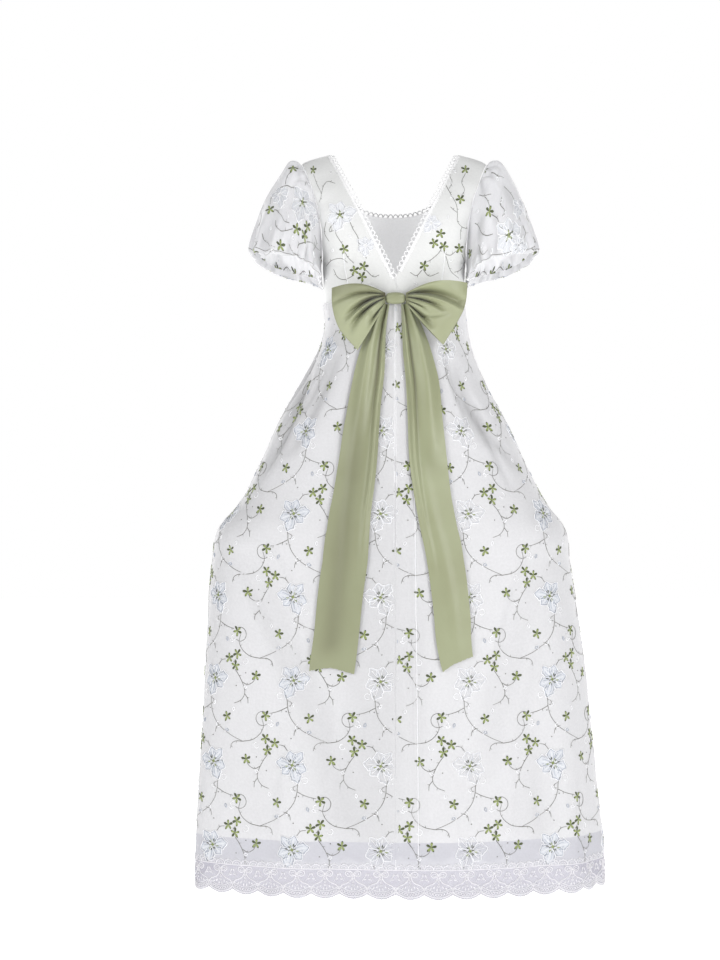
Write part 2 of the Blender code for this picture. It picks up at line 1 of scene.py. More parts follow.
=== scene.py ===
"""Looks of the puff sleeve maxi dress: sheer embroidered organza over a white lining, a lace hem,
scalloped braid along the neck and a satin bow, each made on the form of its CAD solid."""

import math

import bmesh
import bpy
import numpy as np
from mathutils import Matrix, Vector
from mathutils.bvhtree import BVHTree


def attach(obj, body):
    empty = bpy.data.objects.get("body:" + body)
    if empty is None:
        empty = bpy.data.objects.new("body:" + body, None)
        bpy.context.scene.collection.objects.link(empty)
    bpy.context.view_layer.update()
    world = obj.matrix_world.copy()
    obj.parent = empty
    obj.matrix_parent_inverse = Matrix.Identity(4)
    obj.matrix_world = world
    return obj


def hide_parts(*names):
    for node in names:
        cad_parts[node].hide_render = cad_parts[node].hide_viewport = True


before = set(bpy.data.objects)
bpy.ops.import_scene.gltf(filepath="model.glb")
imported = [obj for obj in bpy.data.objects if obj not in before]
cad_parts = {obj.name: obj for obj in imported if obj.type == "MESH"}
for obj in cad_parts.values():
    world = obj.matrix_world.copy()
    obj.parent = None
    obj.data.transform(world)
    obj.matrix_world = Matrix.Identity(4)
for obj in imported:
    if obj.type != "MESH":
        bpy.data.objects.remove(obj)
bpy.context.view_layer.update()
bpy.ops.object.select_all(action="DESELECT")

# Form of the CAD solids
SEAM_GAP = 0.0003
PANEL_GAP = 0.0009
BODICE_SEAM_GAP = 0.0016
NECK_HALF_WIDTH = 0.121
BACK_V_FOOT_Z = -0.244
FRONT_NECK_Z = -0.105
WAIST_Z = -0.2832
WAIST_HALF_WIDTH = 0.131
WAIST_BACK_DEPTH = 0.1035
WAIST_FRONT_DEPTH = 0.106
UPPER_FRONT_DEPTH = 0.117
BACK_CROSSING = 0.011
ARMHOLE_TOP = (0.1740, -0.0200)
ARMHOLE_UNDER = (0.1350, -0.2020)
ARMHOLE_REACH = 0.060
ARMHOLE_SCOOP = 0.012
BUST = {"x": 0.078, "z": -0.178, "width": 0.045, "height": 0.050, "depth": 0.016}
# Down the bodice: degrees round the armhole, and shares of the side seam, the back edge and the front edge
BODICE_ROWS = (
    (0.0, 0.0, 0.000, 0.00),
    (32.0, 0.0, 0.080, 0.14),
    (58.0, 0.0, 0.215, 0.32),
    (84.0, 0.0, 0.380, 0.55),
    (110.0, 0.0, 0.560, 0.78),
    (136.0, 0.0, 0.720, 1.00),
    (158.0, 0.0, 0.850, 1.30),
    (180.0, 0.0, 0.940, 1.60),
    (180.0, 0.5, 1.000, 1.85),
    (180.0, 1.0, 1.200, 2.00),
)
SLEEVE_COLUMNS = (
    "top_x", "top_z", "under_x", "under_z", "back", "front", "lean", "raise_back", "raise_front"
)
SLEEVE_ROWS = (
    (0.1758, -0.0200, 0.1368, -0.2020, 0.0608, 0.0608, 0.012, 0.000, 0.000),
    (0.1880, -0.0140, 0.1380, -0.2090, 0.0710, 0.0690, 0.009, 0.000, 0.000),
    (0.2020, -0.0170, 0.1385, -0.2190, 0.0830, 0.0780, 0.008, 0.002, 0.000),
    (0.2200, -0.0440, 0.1380, -0.2300, 0.0950, 0.0880, 0.010, 0.005, 0.000),
    (0.2410, -0.0820, 0.1375, -0.2400, 0.1010, 0.0940, 0.014, 0.010, 0.000),
    (0.2570, -0.1260, 0.1365, -0.2480, 0.1000, 0.0940, 0.016, 0.013, -0.002),
    (0.2715, -0.1740, 0.1360, -0.2540, 0.0890, 0.0880, 0.018, 0.018, -0.008),
    (0.2690, -0.1890, 0.1372, -0.2515, 0.0780, 0.0780, 0.014, 0.020, -0.010),
    (0.2600, -0.1800, 0.1440, -0.2370, 0.0660, 0.0660, 0.010, 0.017, -0.010),
)
SKIRT_COLUMNS = ("z", "left", "right", "back", "front", "squareness")
SKIRT_ROWS = (
    (-0.2838, 0.1310, 0.1310, 0.1035, 0.1060, 2.05),
    (-0.3250, 0.1310, 0.1390, 0.1095, 0.1150, 2.05),
    (-0.3660, 0.1420, 0.1460, 0.1145, 0.1240, 2.10),
    (-0.4270, 0.1740, 0.1700, 0.1215, 0.1340, 2.15),
    (-0.4970, 0.2140, 0.2070, 0.1310, 0.1430, 2.20),
    (-0.5980, 0.2600, 0.2550, 0.1430, 0.1530, 2.25),
    (-0.6680, 0.2980, 0.2930, 0.1500, 0.1580, 2.30),
    (-0.7050, 0.3310, 0.3220, 0.1530, 0.1600, 2.30),
    (-0.7690, 0.3440, 0.3325, 0.1580, 0.1630, 2.40),
    (-0.8910, 0.3540, 0.3500, 0.1670, 0.1710, 2.50),
    (-0.9850, 0.3600, 0.3610, 0.1735, 0.1780, 2.55),
    (-1.0800, 0.3640, 0.3690, 0.1800, 0.1840, 2.60),
    (-1.2000, 0.3705, 0.3790, 0.1875, 0.1920, 2.63),
    (-1.3232, 0.3735, 0.3895, 0.1950, 0.2000, 2.65),
    (-1.3900, 0.3735, 0.3905, 0.1980, 0.2030, 2.65),
)
FOLD_COLUMNS = ("face", "top_x", "top_z", "low_x", "low_z", "bow", "width", "depth")
SKIRT_FOLDS = (
    (1, 0.145, -0.345, 0.240, -0.600, -0.006, 0.015, 0.009),
    (1, 0.108, -0.375, 0.200, -0.575, -0.006, 0.013, 0.008),
    (1, 0.283, -0.740, 0.095, -1.240, -0.020, 0.030, 0.014),
    (1, -0.108, -0.390, -0.178, -0.560, 0.004, 0.013, 0.007),
    (1, -0.122, -0.450, -0.235, -0.600, 0.005, 0.013, 0.006),
    (1, -0.290, -0.745, -0.160, -1.160, 0.018, 0.030, 0.009),
    (1, -0.036, -0.700, -0.044, -1.340, 0.000, 0.014, 0.006),
    (-1, 0.095, -0.360, 0.225, -0.610, -0.006, 0.016, 0.010),
    (-1, -0.100, -0.370, -0.215, -0.600, 0.006, 0.015, 0.009),
    (-1, 0.270, -0.750, 0.100, -1.270, -0.018, 0.032, 0.013),
    (-1, -0.280, -0.750, -0.120, -1.260, 0.020, 0.030, 0.012),
    (-1, 0.020, -0.620, 0.010, -1.330, 0.004, 0.024, 0.008),
)
# Finer creases that only the scene shows, in the same columns: below 0 depth is a ridge
SKIRT_CREASES = (
    (1, 0.160, -0.420, 0.262, -0.640, -0.004, 0.006, 0.0057),
    (1, 0.128, -0.395, 0.178, -0.500, -0.002, 0.005, 0.0049),
    (1, 0.182, -0.470, 0.232, -0.560, -0.002, 0.006, -0.0042),
    (1, 0.060, -0.360, 0.100, -0.560, -0.002, 0.006, 0.0046),
    (1, -0.090, -0.370, -0.140, -0.520, 0.003, 0.006, 0.0049),
    (1, -0.150, -0.470, -0.220, -0.640, 0.004, 0.006, 0.0049),
    (1, -0.060, -0.350, -0.088, -0.520, 0.002, 0.006, 0.0042),
    (1, 0.300, -0.760, 0.190, -1.020, -0.012, 0.010, 0.0054),
    (1, 0.240, -0.700, 0.150, -0.940, -0.010, 0.009, 0.0041),
    (1, -0.262, -0.720, -0.190, -0.960, 0.012, 0.009, 0.0041),
    (1, -0.318, -0.800, -0.230, -1.120, 0.014, 0.011, 0.0036),
    (1, 0.008, -0.660, 0.004, -1.315, 0.000, 0.005, 0.0008),
    (1, -0.024, -0.640, -0.027, -1.315, 0.000, 0.004, -0.0024),
    (1, 0.205, -1.040, 0.232, -1.330, 0.004, 0.012, 0.0030),
    (1, -0.130, -1.000, -0.118, -1.330, 0.003, 0.012, 0.0026),
    (1, -0.262, -1.030, -0.280, -1.330, 0.004, 0.013, 0.0034),
    (1, 0.100, -0.920, 0.120, -1.320, 0.004, 0.010, -0.0024),
    (1, -0.205, -0.900, -0.212, -1.320, 0.004, 0.011, -0.0024),
    (-1, 0.120, -0.380, 0.180, -0.540, -0.003, 0.006, 0.0053),
    (-1, 0.060, -0.360, 0.094, -0.560, -0.002, 0.006, 0.0046),
    (-1, -0.060, -0.370, -0.110, -0.560, 0.003, 0.006, 0.0049),
    (-1, -0.140, -0.430, -0.230, -0.640, 0.004, 0.007, 0.0053),
    (-1, 0.290, -0.770, 0.180, -1.060, -0.010, 0.010, 0.0049),
    (-1, -0.300, -0.780, -0.200, -1.080, 0.012, 0.010, 0.0049),
    (-1, 0.140, -0.980, 0.160, -1.330, 0.004, 0.011, 0.0028),
    (-1, -0.050, -0.900, -0.060, -1.330, 0.003, 0.012, -0.0024),
    (-1, -0.200, -1.000, -0.210, -1.330, 0.004, 0.012, 0.0028),
)
WAVE_COLUMNS = ("waves", "depth", "turn")
HEM_WAVES = ((5, 0.0060, 0.4), (9, 0.0045, 1.9), (14, 0.0022, 0.8))
HEM_WAVE_START_Z = -0.80
SKIRT_AROUND = 76
LINING_HEM_Z = -1.2740
LINING_INSET = 0.0016
LINING_INSET_BELOW = 0.0100
LINING_INSET_Z = -0.3900
LACE_TOP_Z = -1.3235
LACE_BOTTOM_Z = -1.3770
LACE_SCALLOPS = 38
LACE_SCALLOP_DEPTH = 0.0085
KNOT_CENTRE = (-0.0010, 0.1156, -0.2815)
KNOT_SIZE = (0.0375, 0.0135, 0.0205)
LOOP_ROOT_HALF_HEIGHT = 0.0095
LOOP_PLEATS = 3
LOOP_PLEAT_DEPTH = 0.0042
LOOP_ARCH = 0.0105
LOOP_FRONT_Y = 0.1215
LOOP_BACK_Y = 0.1182
LOOP_BELLY = 0.020
LOOP_FOLDS = {
    1: ((0.1165, -0.2630), (0.1150, -0.3000), (0.1020, -0.3390), (0.0690, -0.3775)),
    -1: ((-0.1335, -0.2535), (-0.1300, -0.2900), (-0.1190, -0.3180), (-0.0885, -0.3680)),
}
# Height, and x of the inner and the outer edge, of each tail
TAIL_ROWS = {
    1: (
        (-0.2921, 0.0095, 0.0255),
        (-0.3300, 0.0150, 0.0440),
        (-0.3840, 0.0178, 0.0650),
        (-0.4330, 0.0190, 0.0765),
        (-0.5066, 0.0230, 0.0889),
        (-0.5970, 0.0294, 0.0990),
        (-0.6870, 0.0400, 0.1200),
        (-0.7640, 0.0450, 0.1320),
        (-0.8360, 0.0540, 0.1410),
        (-0.9080, 0.0626, 0.1490),
        (-0.9690, 0.0720, 0.1577),
    ),
    -1: (
        (-0.2921, -0.0110, -0.0270),
        (-0.3300, -0.0125, -0.0470),
        (-0.3840, -0.0150, -0.0670),
        (-0.4330, -0.0193, -0.0790),
        (-0.5066, -0.0228, -0.0865),
        (-0.5730, -0.0252, -0.0955),
        (-0.6870, -0.0416, -0.1119),
        (-0.7640, -0.0570, -0.1250),
        (-0.8360, -0.0665, -0.1330),
        (-0.9080, -0.0758, -0.1404),
        (-0.9590, -0.0900, -0.1480),
    ),
}
TAIL_CLEARANCE = 0.0045
SIDES = {"left": 1, "right": -1}

# Sizes of the scene's own detail
ORGANZA_WALL = 0.0005
DRAWN_SEAM = 0.00008
WALL_EDGE_ANGLE = math.radians(55.0)
LINING_WALL = 0.0006
SATIN_WALL = 0.0007
REPEAT_WIDE = 0.162
REPEAT_HIGH = 0.1527
# Large flowers of the skirt: their highest row, how many rows, one column beside the centre back and one
# beside the centre front, and how far the columns reach round a panel
FLOWER_ROWS_TOP_Z = -0.3735
FLOWER_ROWS = 7
BACK_COLUMN_S = 0.027
FRONT_COLUMN_S = 0.055
PANEL_REACH = 0.62
# Points of the two halves of the front closer than this are joined
FRONT_JOIN = 0.0002
LINING_GLOW = 0.05
# Top of the skirt's cloth, and rows and columns of points of its panels and of its lining
SKIRT_TOP_Z = -0.2838
PANEL_ROWS = 118
LINING_ROWS = 56
LINING_COLUMNS = 90
# Half the skirt's breadth, near enough to turn a margin into an angle
SKIRT_RADIUS = 0.3
# Stitched lines behind, in mm: beside the centre back seam, and along the placket
SEAM_CORD_ASIDE = 1.5
PLACKET_ASIDE = 36.0
PLACKET_TOP = 540.0
PLACKET_END = 1300.0
BRAID_PITCH = 0.0100
# The flat embroidery of the bodice is bent round a form of this radius
BACK_BEND = 0.17
# Gather ratio of the skirt's cloth at a few heights
GATHER_ROWS = ((0.2838, 1.55), (0.37, 1.36), (0.53, 1.08), (0.67, 1.0), (1.5, 1.0))


def smooth_step(low, high, value):
    share = np.clip((value - low) / (high - low), 0.0, 1.0)
    return share * share * (3.0 - 2.0 * share)


def soft_interp(value, steps, numbers):
    """Smooth curve through a table, without corners at its rows."""
    steps = np.asarray(steps, float)
    numbers = np.asarray(numbers, float)
    value = np.clip(value, steps[0], steps[-1])
    slope = np.gradient(numbers, steps)
    place = np.clip(np.searchsorted(steps, value, side="right") - 1, 0, len(steps) - 2)
    wide = steps[place + 1] - steps[place]
    t = (value - steps[place]) / wide
    a, b = numbers[place], numbers[place + 1]
    ma, mb = slope[place] * wide, slope[place + 1] * wide
    return a + t * (ma + t * (3 * (b - a) - 2 * ma - mb + t * (2 * (a - b) + ma + mb)))


def read_table(columns, rows, steps, place):
    numbers = np.array(rows, float)
    return {name: soft_interp(place, steps, numbers[:, k]) for k, name in enumerate(columns)}


def unit(vectors):
    return vectors / np.maximum(np.linalg.norm(vectors, axis=-1, keepdims=True), 1e-12)


def bell(value, middle, width):
    """1 at the middle, and less on both sides of it."""
    away = (value - middle) / width
    return np.exp(-away * away)


def lengths_along(points, axis):
    """Length from the first point to each, along one axis of a grid of points."""
    steps = np.linalg.norm(np.diff(points, axis=axis), axis=-1)
    return np.concatenate([0.0 * np.take(steps, [0], axis), np.cumsum(steps, axis=axis)], axis=axis)


def named_rows(columns, rows, side=None):
    """The rows of a table with their columns' names: all of them, or those of one side."""
    named = [dict(zip(columns, row)) for row in rows]
    return [row for row in named if side in (None, row.get("side"))]


# Skirt form
def skirt_section(angle, z):
    row = read_table(SKIRT_COLUMNS, SKIRT_ROWS, [-row[0] for row in SKIRT_ROWS], -z)
    power = 2.0 / row["squareness"]
    sine, cosine = np.sin(angle), np.cos(angle)
    reach = np.where(sine >= 0.0, row["left"], row["right"])
    depth = np.where(cosine >= 0.0, row["back"], row["front"])
    x = np.copysign(reach * np.abs(sine) ** power, sine)
    y = np.copysign(depth * np.abs(cosine) ** power, cosine)
    return np.stack(np.broadcast_arrays(x, y, z), axis=-1)


def fold_depth(point, angle, tables):
    depth = np.zeros(point.shape[:-1])
    x, y, z = point[..., 0], point[..., 1], point[..., 2]
    for fold in named_rows(FOLD_COLUMNS, sum(tables, ())):
        share = (z - fold["top_z"]) / (fold["low_z"] - fold["top_z"])
        inside = (share > 0.0) & (share < 1.0) & (y * fold["face"] >= 0.0)
        swell = np.sin(math.pi * np.clip(share, 0.0, 1.0))
        middle = fold["top_x"] + (fold["low_x"] - fold["top_x"]) * share + fold["bow"] * swell
        depth -= np.where(inside, fold["depth"] * swell ** 0.6 * bell(x, middle, fold["width"]), 0.0)
    fall = smooth_step(-HEM_WAVE_START_Z, -LACE_BOTTOM_Z, -z)
    for wave in named_rows(WAVE_COLUMNS, HEM_WAVES):
        depth += fall * wave["depth"] * np.cos(wave["waves"] * angle + wave["turn"])
    return depth


def gather_depth(angle, z):
    """Uneven gathers below the waist seam."""
    below = WAIST_Z - z
    long = 0.055 + 0.030 * np.sin(7.0 * angle + 1.0) + 0.012 * np.sin(17.0 * angle)
    fade = 1.0 - smooth_step(0.0, 1.0, below / long)
    turn = angle + 0.030 * np.sin(9.0 * angle) + 0.015 * np.sin(21.0 * angle + 2.0)
    swell = 0.5 + 0.5 * np.cos(58.0 * turn)
    broad = 0.5 + 0.5 * np.cos(23.0 * turn + 0.7)
    return fade * (0.0024 * swell + 0.0014 * broad)


def outward(angle, z):
    step = 0.004
    along = unit(skirt_section(angle + step, z) - skirt_section(angle - step, z))
    return np.stack([-along[..., 1], along[..., 0], np.zeros_like(along[..., 0])], axis=-1)


def skirt_shade(angle, z):
    """Painted shade of each place of the skirt, from 0 on open cloth to 1, in its folds and down its middle.
    """
    strength = 0.65 - 0.50 * smooth_step(0.52, 0.74, -z)
    point = skirt_section(angle, z)
    # Painted shade in a band down the middle of the skirt, below the hips
    middle = bell(point[..., 0], 0.03, 0.075) * smooth_step(0.45, 0.70, -z)
    return 0.26 * middle - strength * fold_depth(point, angle, (SKIRT_FOLDS, SKIRT_CREASES)) / 0.011


def skirt_point(angle, z, out=0.0, fine=True):
    angle, z = np.broadcast_arrays(np.asarray(angle, float), np.asarray(z, float))
    point = skirt_section(angle, z)
    tables = (SKIRT_FOLDS, SKIRT_CREASES) if fine else (SKIRT_FOLDS,)
    depth = fold_depth(point, angle, tables) + out
    if fine:
        depth = depth + gather_depth(angle, z)
    return point + outward(angle, z) * depth[..., None]


def even_angles(count, z):
    fine = np.linspace(0.0, 2.0 * math.pi, 1441)
    points = skirt_section(fine, np.full_like(fine, z))
    length = lengths_along(points, 0)
    return np.interp(np.linspace(0.0, length[-1], count + 1), length, fine)


CAD_ANGLES = even_angles(SKIRT_AROUND, LACE_TOP_Z)
LEFT_SEAM = CAD_ANGLES[SKIRT_AROUND // 4]
RIGHT_SEAM = CAD_ANGLES[SKIRT_AROUND - SKIRT_AROUND // 4]


def gather_ratio(z):
    rows = np.array(GATHER_ROWS)
    return np.interp(-np.asarray(z), rows[:, 0], rows[:, 1])


# Cloth coordinates of the skirt: s runs round from the centre back (or the centre front)
MAP_ANGLES = np.linspace(0.0, math.pi, 721)
MAP_HEIGHTS = np.linspace(-0.280, -1.400, 113)
MAP_STEP = 0.004


def side_lengths(way, front):
    """Arc length from a centre line to each angle towards +X (1) or -X (-1)."""
    turns = (math.pi - MAP_ANGLES) if front else MAP_ANGLES
    return lengths_along(skirt_section(way * turns[:, None], MAP_HEIGHTS[None, :]), 0)


def make_angle_maps():
    maps = {}
    places = np.arange(0.0, 1.5, MAP_STEP)
    for front in (False, True):
        for way in (1, -1):
            lengths = side_lengths(way, front)
            turns = (math.pi - MAP_ANGLES) if front else MAP_ANGLES
            grid = np.zeros((len(places), len(MAP_HEIGHTS)))
            for k, z in enumerate(MAP_HEIGHTS):
                grid[:, k] = np.interp(places / gather_ratio(z), lengths[:, k], way * turns)
            maps[front, way] = grid
    return maps


def sample(grid, x, y):
    """Value between the points of a regular grid."""
    x = np.clip(x, 0.0, grid.shape[0] - 1.001)
    y = np.clip(y, 0.0, grid.shape[1] - 1.001)
    i, j = x.astype(int), y.astype(int)
    a, b = x - i, y - j
    low = grid[i, j] * (1 - a) + grid[i + 1, j] * a
    high = grid[i, j + 1] * (1 - a) + grid[i + 1, j + 1] * a
    return low * (1 - b) + high * b


ANGLE_MAPS = make_angle_maps()


def skirt_angle(s, z, front):
    """Angle of the cloth place s at a height; s is positive towards +X."""
    row = (MAP_HEIGHTS[0] - z) / (MAP_HEIGHTS[0] - MAP_HEIGHTS[1])
    left = sample(ANGLE_MAPS[front, 1], np.abs(s) / MAP_STEP, row)
    right = sample(ANGLE_MAPS[front, -1], np.abs(s) / MAP_STEP, row)
    return np.where(s >= 0.0, left, right)


# Meshes
def link(name, mesh, materials):
    for material in materials:
        mesh.materials.append(material)
    piece = bpy.data.objects.new(name, mesh)
    bpy.context.scene.collection.objects.link(piece)
    return piece


def mesh_from(name, points, faces, materials, tones=None, uv=None):
    mesh = bpy.data.meshes.new(name)
    points = np.asarray(points, float).reshape(-1, 3)
    faces = np.asarray(faces, int)
    mesh.vertices.add(len(points))
    mesh.vertices.foreach_set("co", points.astype(np.float32).ravel())
    size = faces.shape[1]
    mesh.loops.add(faces.size)
    mesh.loops.foreach_set("vertex_index", faces.ravel().astype(np.int32))
    mesh.polygons.add(len(faces))
    mesh.polygons.foreach_set("loop_start", (np.arange(len(faces)) * size).astype(np.int32))
    if tones is not None:
        mesh.polygons.foreach_set("material_index", np.asarray(tones, np.int32))
    mesh.polygons.foreach_set("use_smooth", np.full(len(faces), True))
    if uv is not None:
        layer = mesh.uv_layers.new(name="cloth")
        layer.data.foreach_set("uv", np.asarray(uv, float)[faces.ravel()].astype(np.float32).ravel())
    mesh.update(calc_edges=True)
    mesh.validate()
    return link(name, mesh, materials)


def grid_faces(rows, columns, ring=False, flip=False):
    k = np.arange(rows - 1)[:, None] * columns
    j = np.arange(columns if ring else columns - 1)[None, :]
    after = (j + 1) % columns
    corners = (k + j, k + columns + j, k + columns + after, k + after)
    if flip:
        corners = corners[::-1]
    return np.stack(np.broadcast_arrays(*corners), axis=-1).reshape(-1, 4)


def thicken(piece, wall):
    """Makes a surface a closed wall, its inner face in the last of the piece's materials."""
    solid = piece.modifiers.new("wall", "SOLIDIFY")
    solid.thickness = wall
    solid.offset = 0.0
    solid.use_rim = True
    solid.material_offset = len(piece.data.materials) - 1
    bpy.ops.object.select_all(action="DESELECT")
    piece.select_set(True)
    bpy.context.view_layer.objects.active = piece
    bpy.ops.object.modifier_apply(modifier=solid.name)
    piece.select_set(False)


def reshape(piece, change):
    """Passes a piece's mesh through one change made with bmesh."""
    shape = bmesh.new()
    shape.from_mesh(piece.data)
    change(shape)
    shape.to_mesh(piece.data)
    shape.free()


def sheet_of(name, points, materials, wall, ring=False, uv=None, fold=None):
    """A closed thin wall on a grid of points (rows, columns, 3); fold is painted shade for each point, 0 to
    1.
    """
    rows, columns = points.shape[:2]
    if uv is None:
        uv = np.stack([lengths_along(points, 1), -lengths_along(points, 0)], axis=-1)
    faces = grid_faces(rows, columns, ring)
    piece = mesh_from(name, points.reshape(-1, 3), faces, materials, uv=uv.reshape(-1, 2))
    if fold is not None:
        # The fold attribute carries painted shade into the cloth's colour
        layer = piece.data.attributes.new("fold", "FLOAT", "POINT")
        layer.data.foreach_set("value", np.clip(fold, 0.0, 1.0).astype(np.float32).ravel())
    thicken(piece, wall)
    piece.data.set_sharp_from_angle(angle=WALL_EDGE_ANGLE)
    return piece


# Stitched motifs, drawn flat
class Stitches:
    """Raised thread lines and petals drawn flat: u to the right, v up, h off the cloth (metres)."""

    def __init__(self):
        self.points, self.faces, self.tones, self.count = [], [], [], 0

    def line(self, path, width, tone, height, closed=False):
        """One thread line or petal: path (n, 2) in millimetres, width a number or one for each point."""
        path = np.asarray(path, float) * 0.001
        wide = np.broadcast_to(np.asarray(width, float) * 0.0005, (len(path),)).copy()
        if closed:
            along = np.roll(path, -1, axis=0) - np.roll(path, 1, axis=0)
        else:
            along = np.gradient(path, axis=0)
        along = unit(along)
        aside = np.stack([-along[:, 1], along[:, 0]], axis=-1)
        crest = height * np.minimum(1.0, wide / max(wide.max(), 1e-9) + 0.25)
        low = np.full((len(path), 1), -0.0001)
        left = np.hstack([path + aside * wide[:, None], low])
        right = np.hstack([path - aside * wide[:, None], low])
        top = np.hstack([path, crest[:, None]])
        points = np.stack([left, top, right], axis=1).reshape(-1, 3)
        k = 3 * np.arange(len(path) if closed else len(path) - 1)
        after = (k + 3) % (3 * len(path))
        slopes = [np.stack([k + j, k + j + 1, after + j + 1, after + j], axis=-1) for j in (0, 1)]
        faces = np.concatenate(slopes)
        self.keep(points, faces, np.full(len(faces), tone))

    def keep(self, points, faces, tones):
        self.points.append(points)
        self.faces.append(faces + self.count)
        self.tones.append(tones)
        self.count += len(points)

    def add(self, other, place, turned):
        """Other stitches turned and spread by a matrix and moved to a place in metres."""
        points, faces, tones = other.arrays()
        points[:, :2] = points[:, :2] @ np.asarray(turned).T + np.array(place)
        self.keep(points, faces, tones)

    def curve(self, points, per_step, width, tone, height, closed=False):
        self.line(curve_through(points, per_step, closed), width, tone, height, closed)

    def ring(self, centre, radius, corners, width, tone, height):
        self.line(circle(centre, radius, corners), width, tone, height, closed=True)

    def petal(self, base, tip, width, tone, height, fullness=0.85):
        share = np.array([0.0, 0.18, 0.45, 0.72, 0.92, 1.0])
        base, tip = np.asarray(base, float), np.asarray(tip, float)
        path = base + (tip - base) * share[:, None]
        wide = width * np.array([0.22, 0.62, 0.95, 1.0, fullness * 0.68, 0.10])
        self.line(path, wide, tone, height)

    def arrays(self):
        return np.concatenate(self.points), np.concatenate(self.faces), np.concatenate(self.tones)


def curve_through(points, per_step, closed=False):
    """Rounded path through a few points."""
    points = np.asarray(points, float)
    steps = np.arange(len(points) + (1 if closed else 0), dtype=float)
    if closed:
        points = np.vstack([points, points[:1]])
    fine = np.linspace(0.0, steps[-1], int(steps[-1]) * per_step + 1)
    if closed:
        around = np.vstack([points[-3:-1], points, points[1:3]])
        wide = np.arange(-2.0, steps[-1] + 3.0)
        path = np.stack([soft_interp(fine, wide, around[:, k]) for k in (0, 1)], axis=-1)
        return path[:-1]
    return np.stack([soft_interp(fine, steps, points[:, k]) for k in (0, 1)], axis=-1)


def circle(centre, radius, count, start=0.0, sweep=360.0):
    turns = np.radians(start + np.linspace(0.0, sweep, count + 1))
    if sweep >= 360.0:
        turns = turns[:-1]
    return np.stack([centre[0] + radius * np.cos(turns), centre[1] + radius * np.sin(turns)], axis=-1)


LEAF_DARK, LEAF_LIGHT, VINE, PETAL_WHITE, PETAL_BLUE, PETAL_PALE, PETAL_SOFT, PETAL_LIGHT = range(8)


def directions(angle):
    """Unit vector at an angle, and the one a quarter turn on."""
    way = np.array([math.cos(angle), math.sin(angle)])
    return way, np.array([-way[1], way[0]])


def drop(stitches, spot, angle, tone):
    """Outlined drop, 7.6 mm long."""
    way, side = directions(angle)
    ring = [spot, spot + way * 3.8 + side * 2.1, spot + way * 7.6, spot + way * 3.8 - side * 2.1]
    stitches.curve(ring, 3, 1.2, tone, 0.0010, closed=True)


def green_flower(stitches, centre, turn, size):
    """Five rounded petals, some darker, round a small knot."""
    size = 1.05 * size
    for k in range(5):
        way, _ = directions(math.radians(turn + 72 * k))
        tone = LEAF_DARK if k in (0, 2) else LEAF_LIGHT
        length = size * (1.0, 0.90, 0.96, 1.04, 0.92)[k]
        stitches.petal(centre + way * 0.9, centre + way * length, 0.47 * size, tone, 0.0010)
        if tone == LEAF_LIGHT:
            tip = centre + way * length * 1.03
            stitches.petal(centre + way * length * 0.55, tip, 0.34 * size, LEAF_DARK, 0.0011)
    stitches.ring(centre, 0.8, 6, 1.6, LEAF_LIGHT, 0.0013)


def large_flower(stitches, centre, turn, size, fill):
    """Pale lily with pointed, double outlined petals and a dark green heart; it is bolder in white unfilled,
    and has no heart where its fill is soft or light."""
    lined = PETAL_BLUE if fill == PETAL_PALE else PETAL_PALE
    edge = 1.45 if not fill else 1.2 if fill == PETAL_PALE else 1.5
    outline = (
        (0.14, 0.0), (0.30, 0.58), (0.48, 0.96), (0.58, 0.82), (0.70, 1.02), (0.84, 0.42), (1.0, 0.0),
        (0.86, -0.50), (0.76, -0.66), (0.62, -1.04), (0.50, -0.80), (0.30, -0.66),
    )
    for k in range(6):
        way, side = directions(math.radians(turn + 60 * k + (7 if k % 2 else -4)))
        length = size * (1.0, 0.82, 0.97, 0.88, 1.08, 0.78)[k]
        half = length * (0.36, 0.40, 0.30, 0.42, 0.34, 0.38)[k]
        if fill:
            stitches.petal(centre + way * 3.0, centre + way * length * 0.95, 1.3 * half, fill, 0.0004, 0.7)
        for long, wide, width, tone, height in (
            (1, 1.0, edge, PETAL_WHITE, 0.0012), (0.93, 0.80, 0.9, lined, 0.0008)
        ):
            ring = [centre + way * (4.0 + (a * length - 4.0) * long) + side * b * half * wide
                    for a, b in outline]
            stitches.curve(ring, 2, width, tone, height, closed=True)
        for bend, reach, width, tone in (
            (0.0, 0.80, 0.9, PETAL_WHITE), (0.34, 0.66, 0.8, lined), (-0.34, 0.62, 0.8, lined)
        ):
            vein = [centre + way * length * 0.20 + side * bend * half * 0.4,
                    centre + way * length * 0.5 * (0.4 + reach) + side * bend * half,
                    centre + way * length * reach + side * bend * half * 0.9]
            stitches.curve(vein, 3, width, tone, 0.0010)
    heart = fill in (None, PETAL_PALE)
    for k in range(12 if heart else 0):
        way, _ = directions(math.radians(turn + 30.0 * k + 8.0 * (k % 2)))
        spot = centre + way * (2.6 + 2.0 * (k % 3))
        tone = (LEAF_DARK, VINE, LEAF_DARK, LEAF_LIGHT)[k % 4]
        stitches.petal(spot, spot + way * (5.0 + 1.8 * (k % 2)), 2.6, tone, 0.0017)
    if heart:
        stitches.ring(centre, 1.5, 6, 2.6, LEAF_LIGHT, 0.0016)


def vine(stitches, points):
    """Fine stem through a few points with short tendrils on both sides."""
    path = curve_through(points, 5)
    stitches.line(path, np.linspace(1.35, 0.95, len(path)), VINE, 0.0004)
    for k in range(4, len(path) - 3, 8):
        way = unit(path[k + 1] - path[k - 1])
        aside = np.array([-way[1], way[0]]) * (1 if k % 16 else -1)
        tendril = [path[k], path[k] + way * 1.6 + aside * 1.8, path[k] + way * 2.2 + aside * 4.0]
        stitches.line(tendril, [0.9, 0.8, 0.4], VINE, 0.0004)


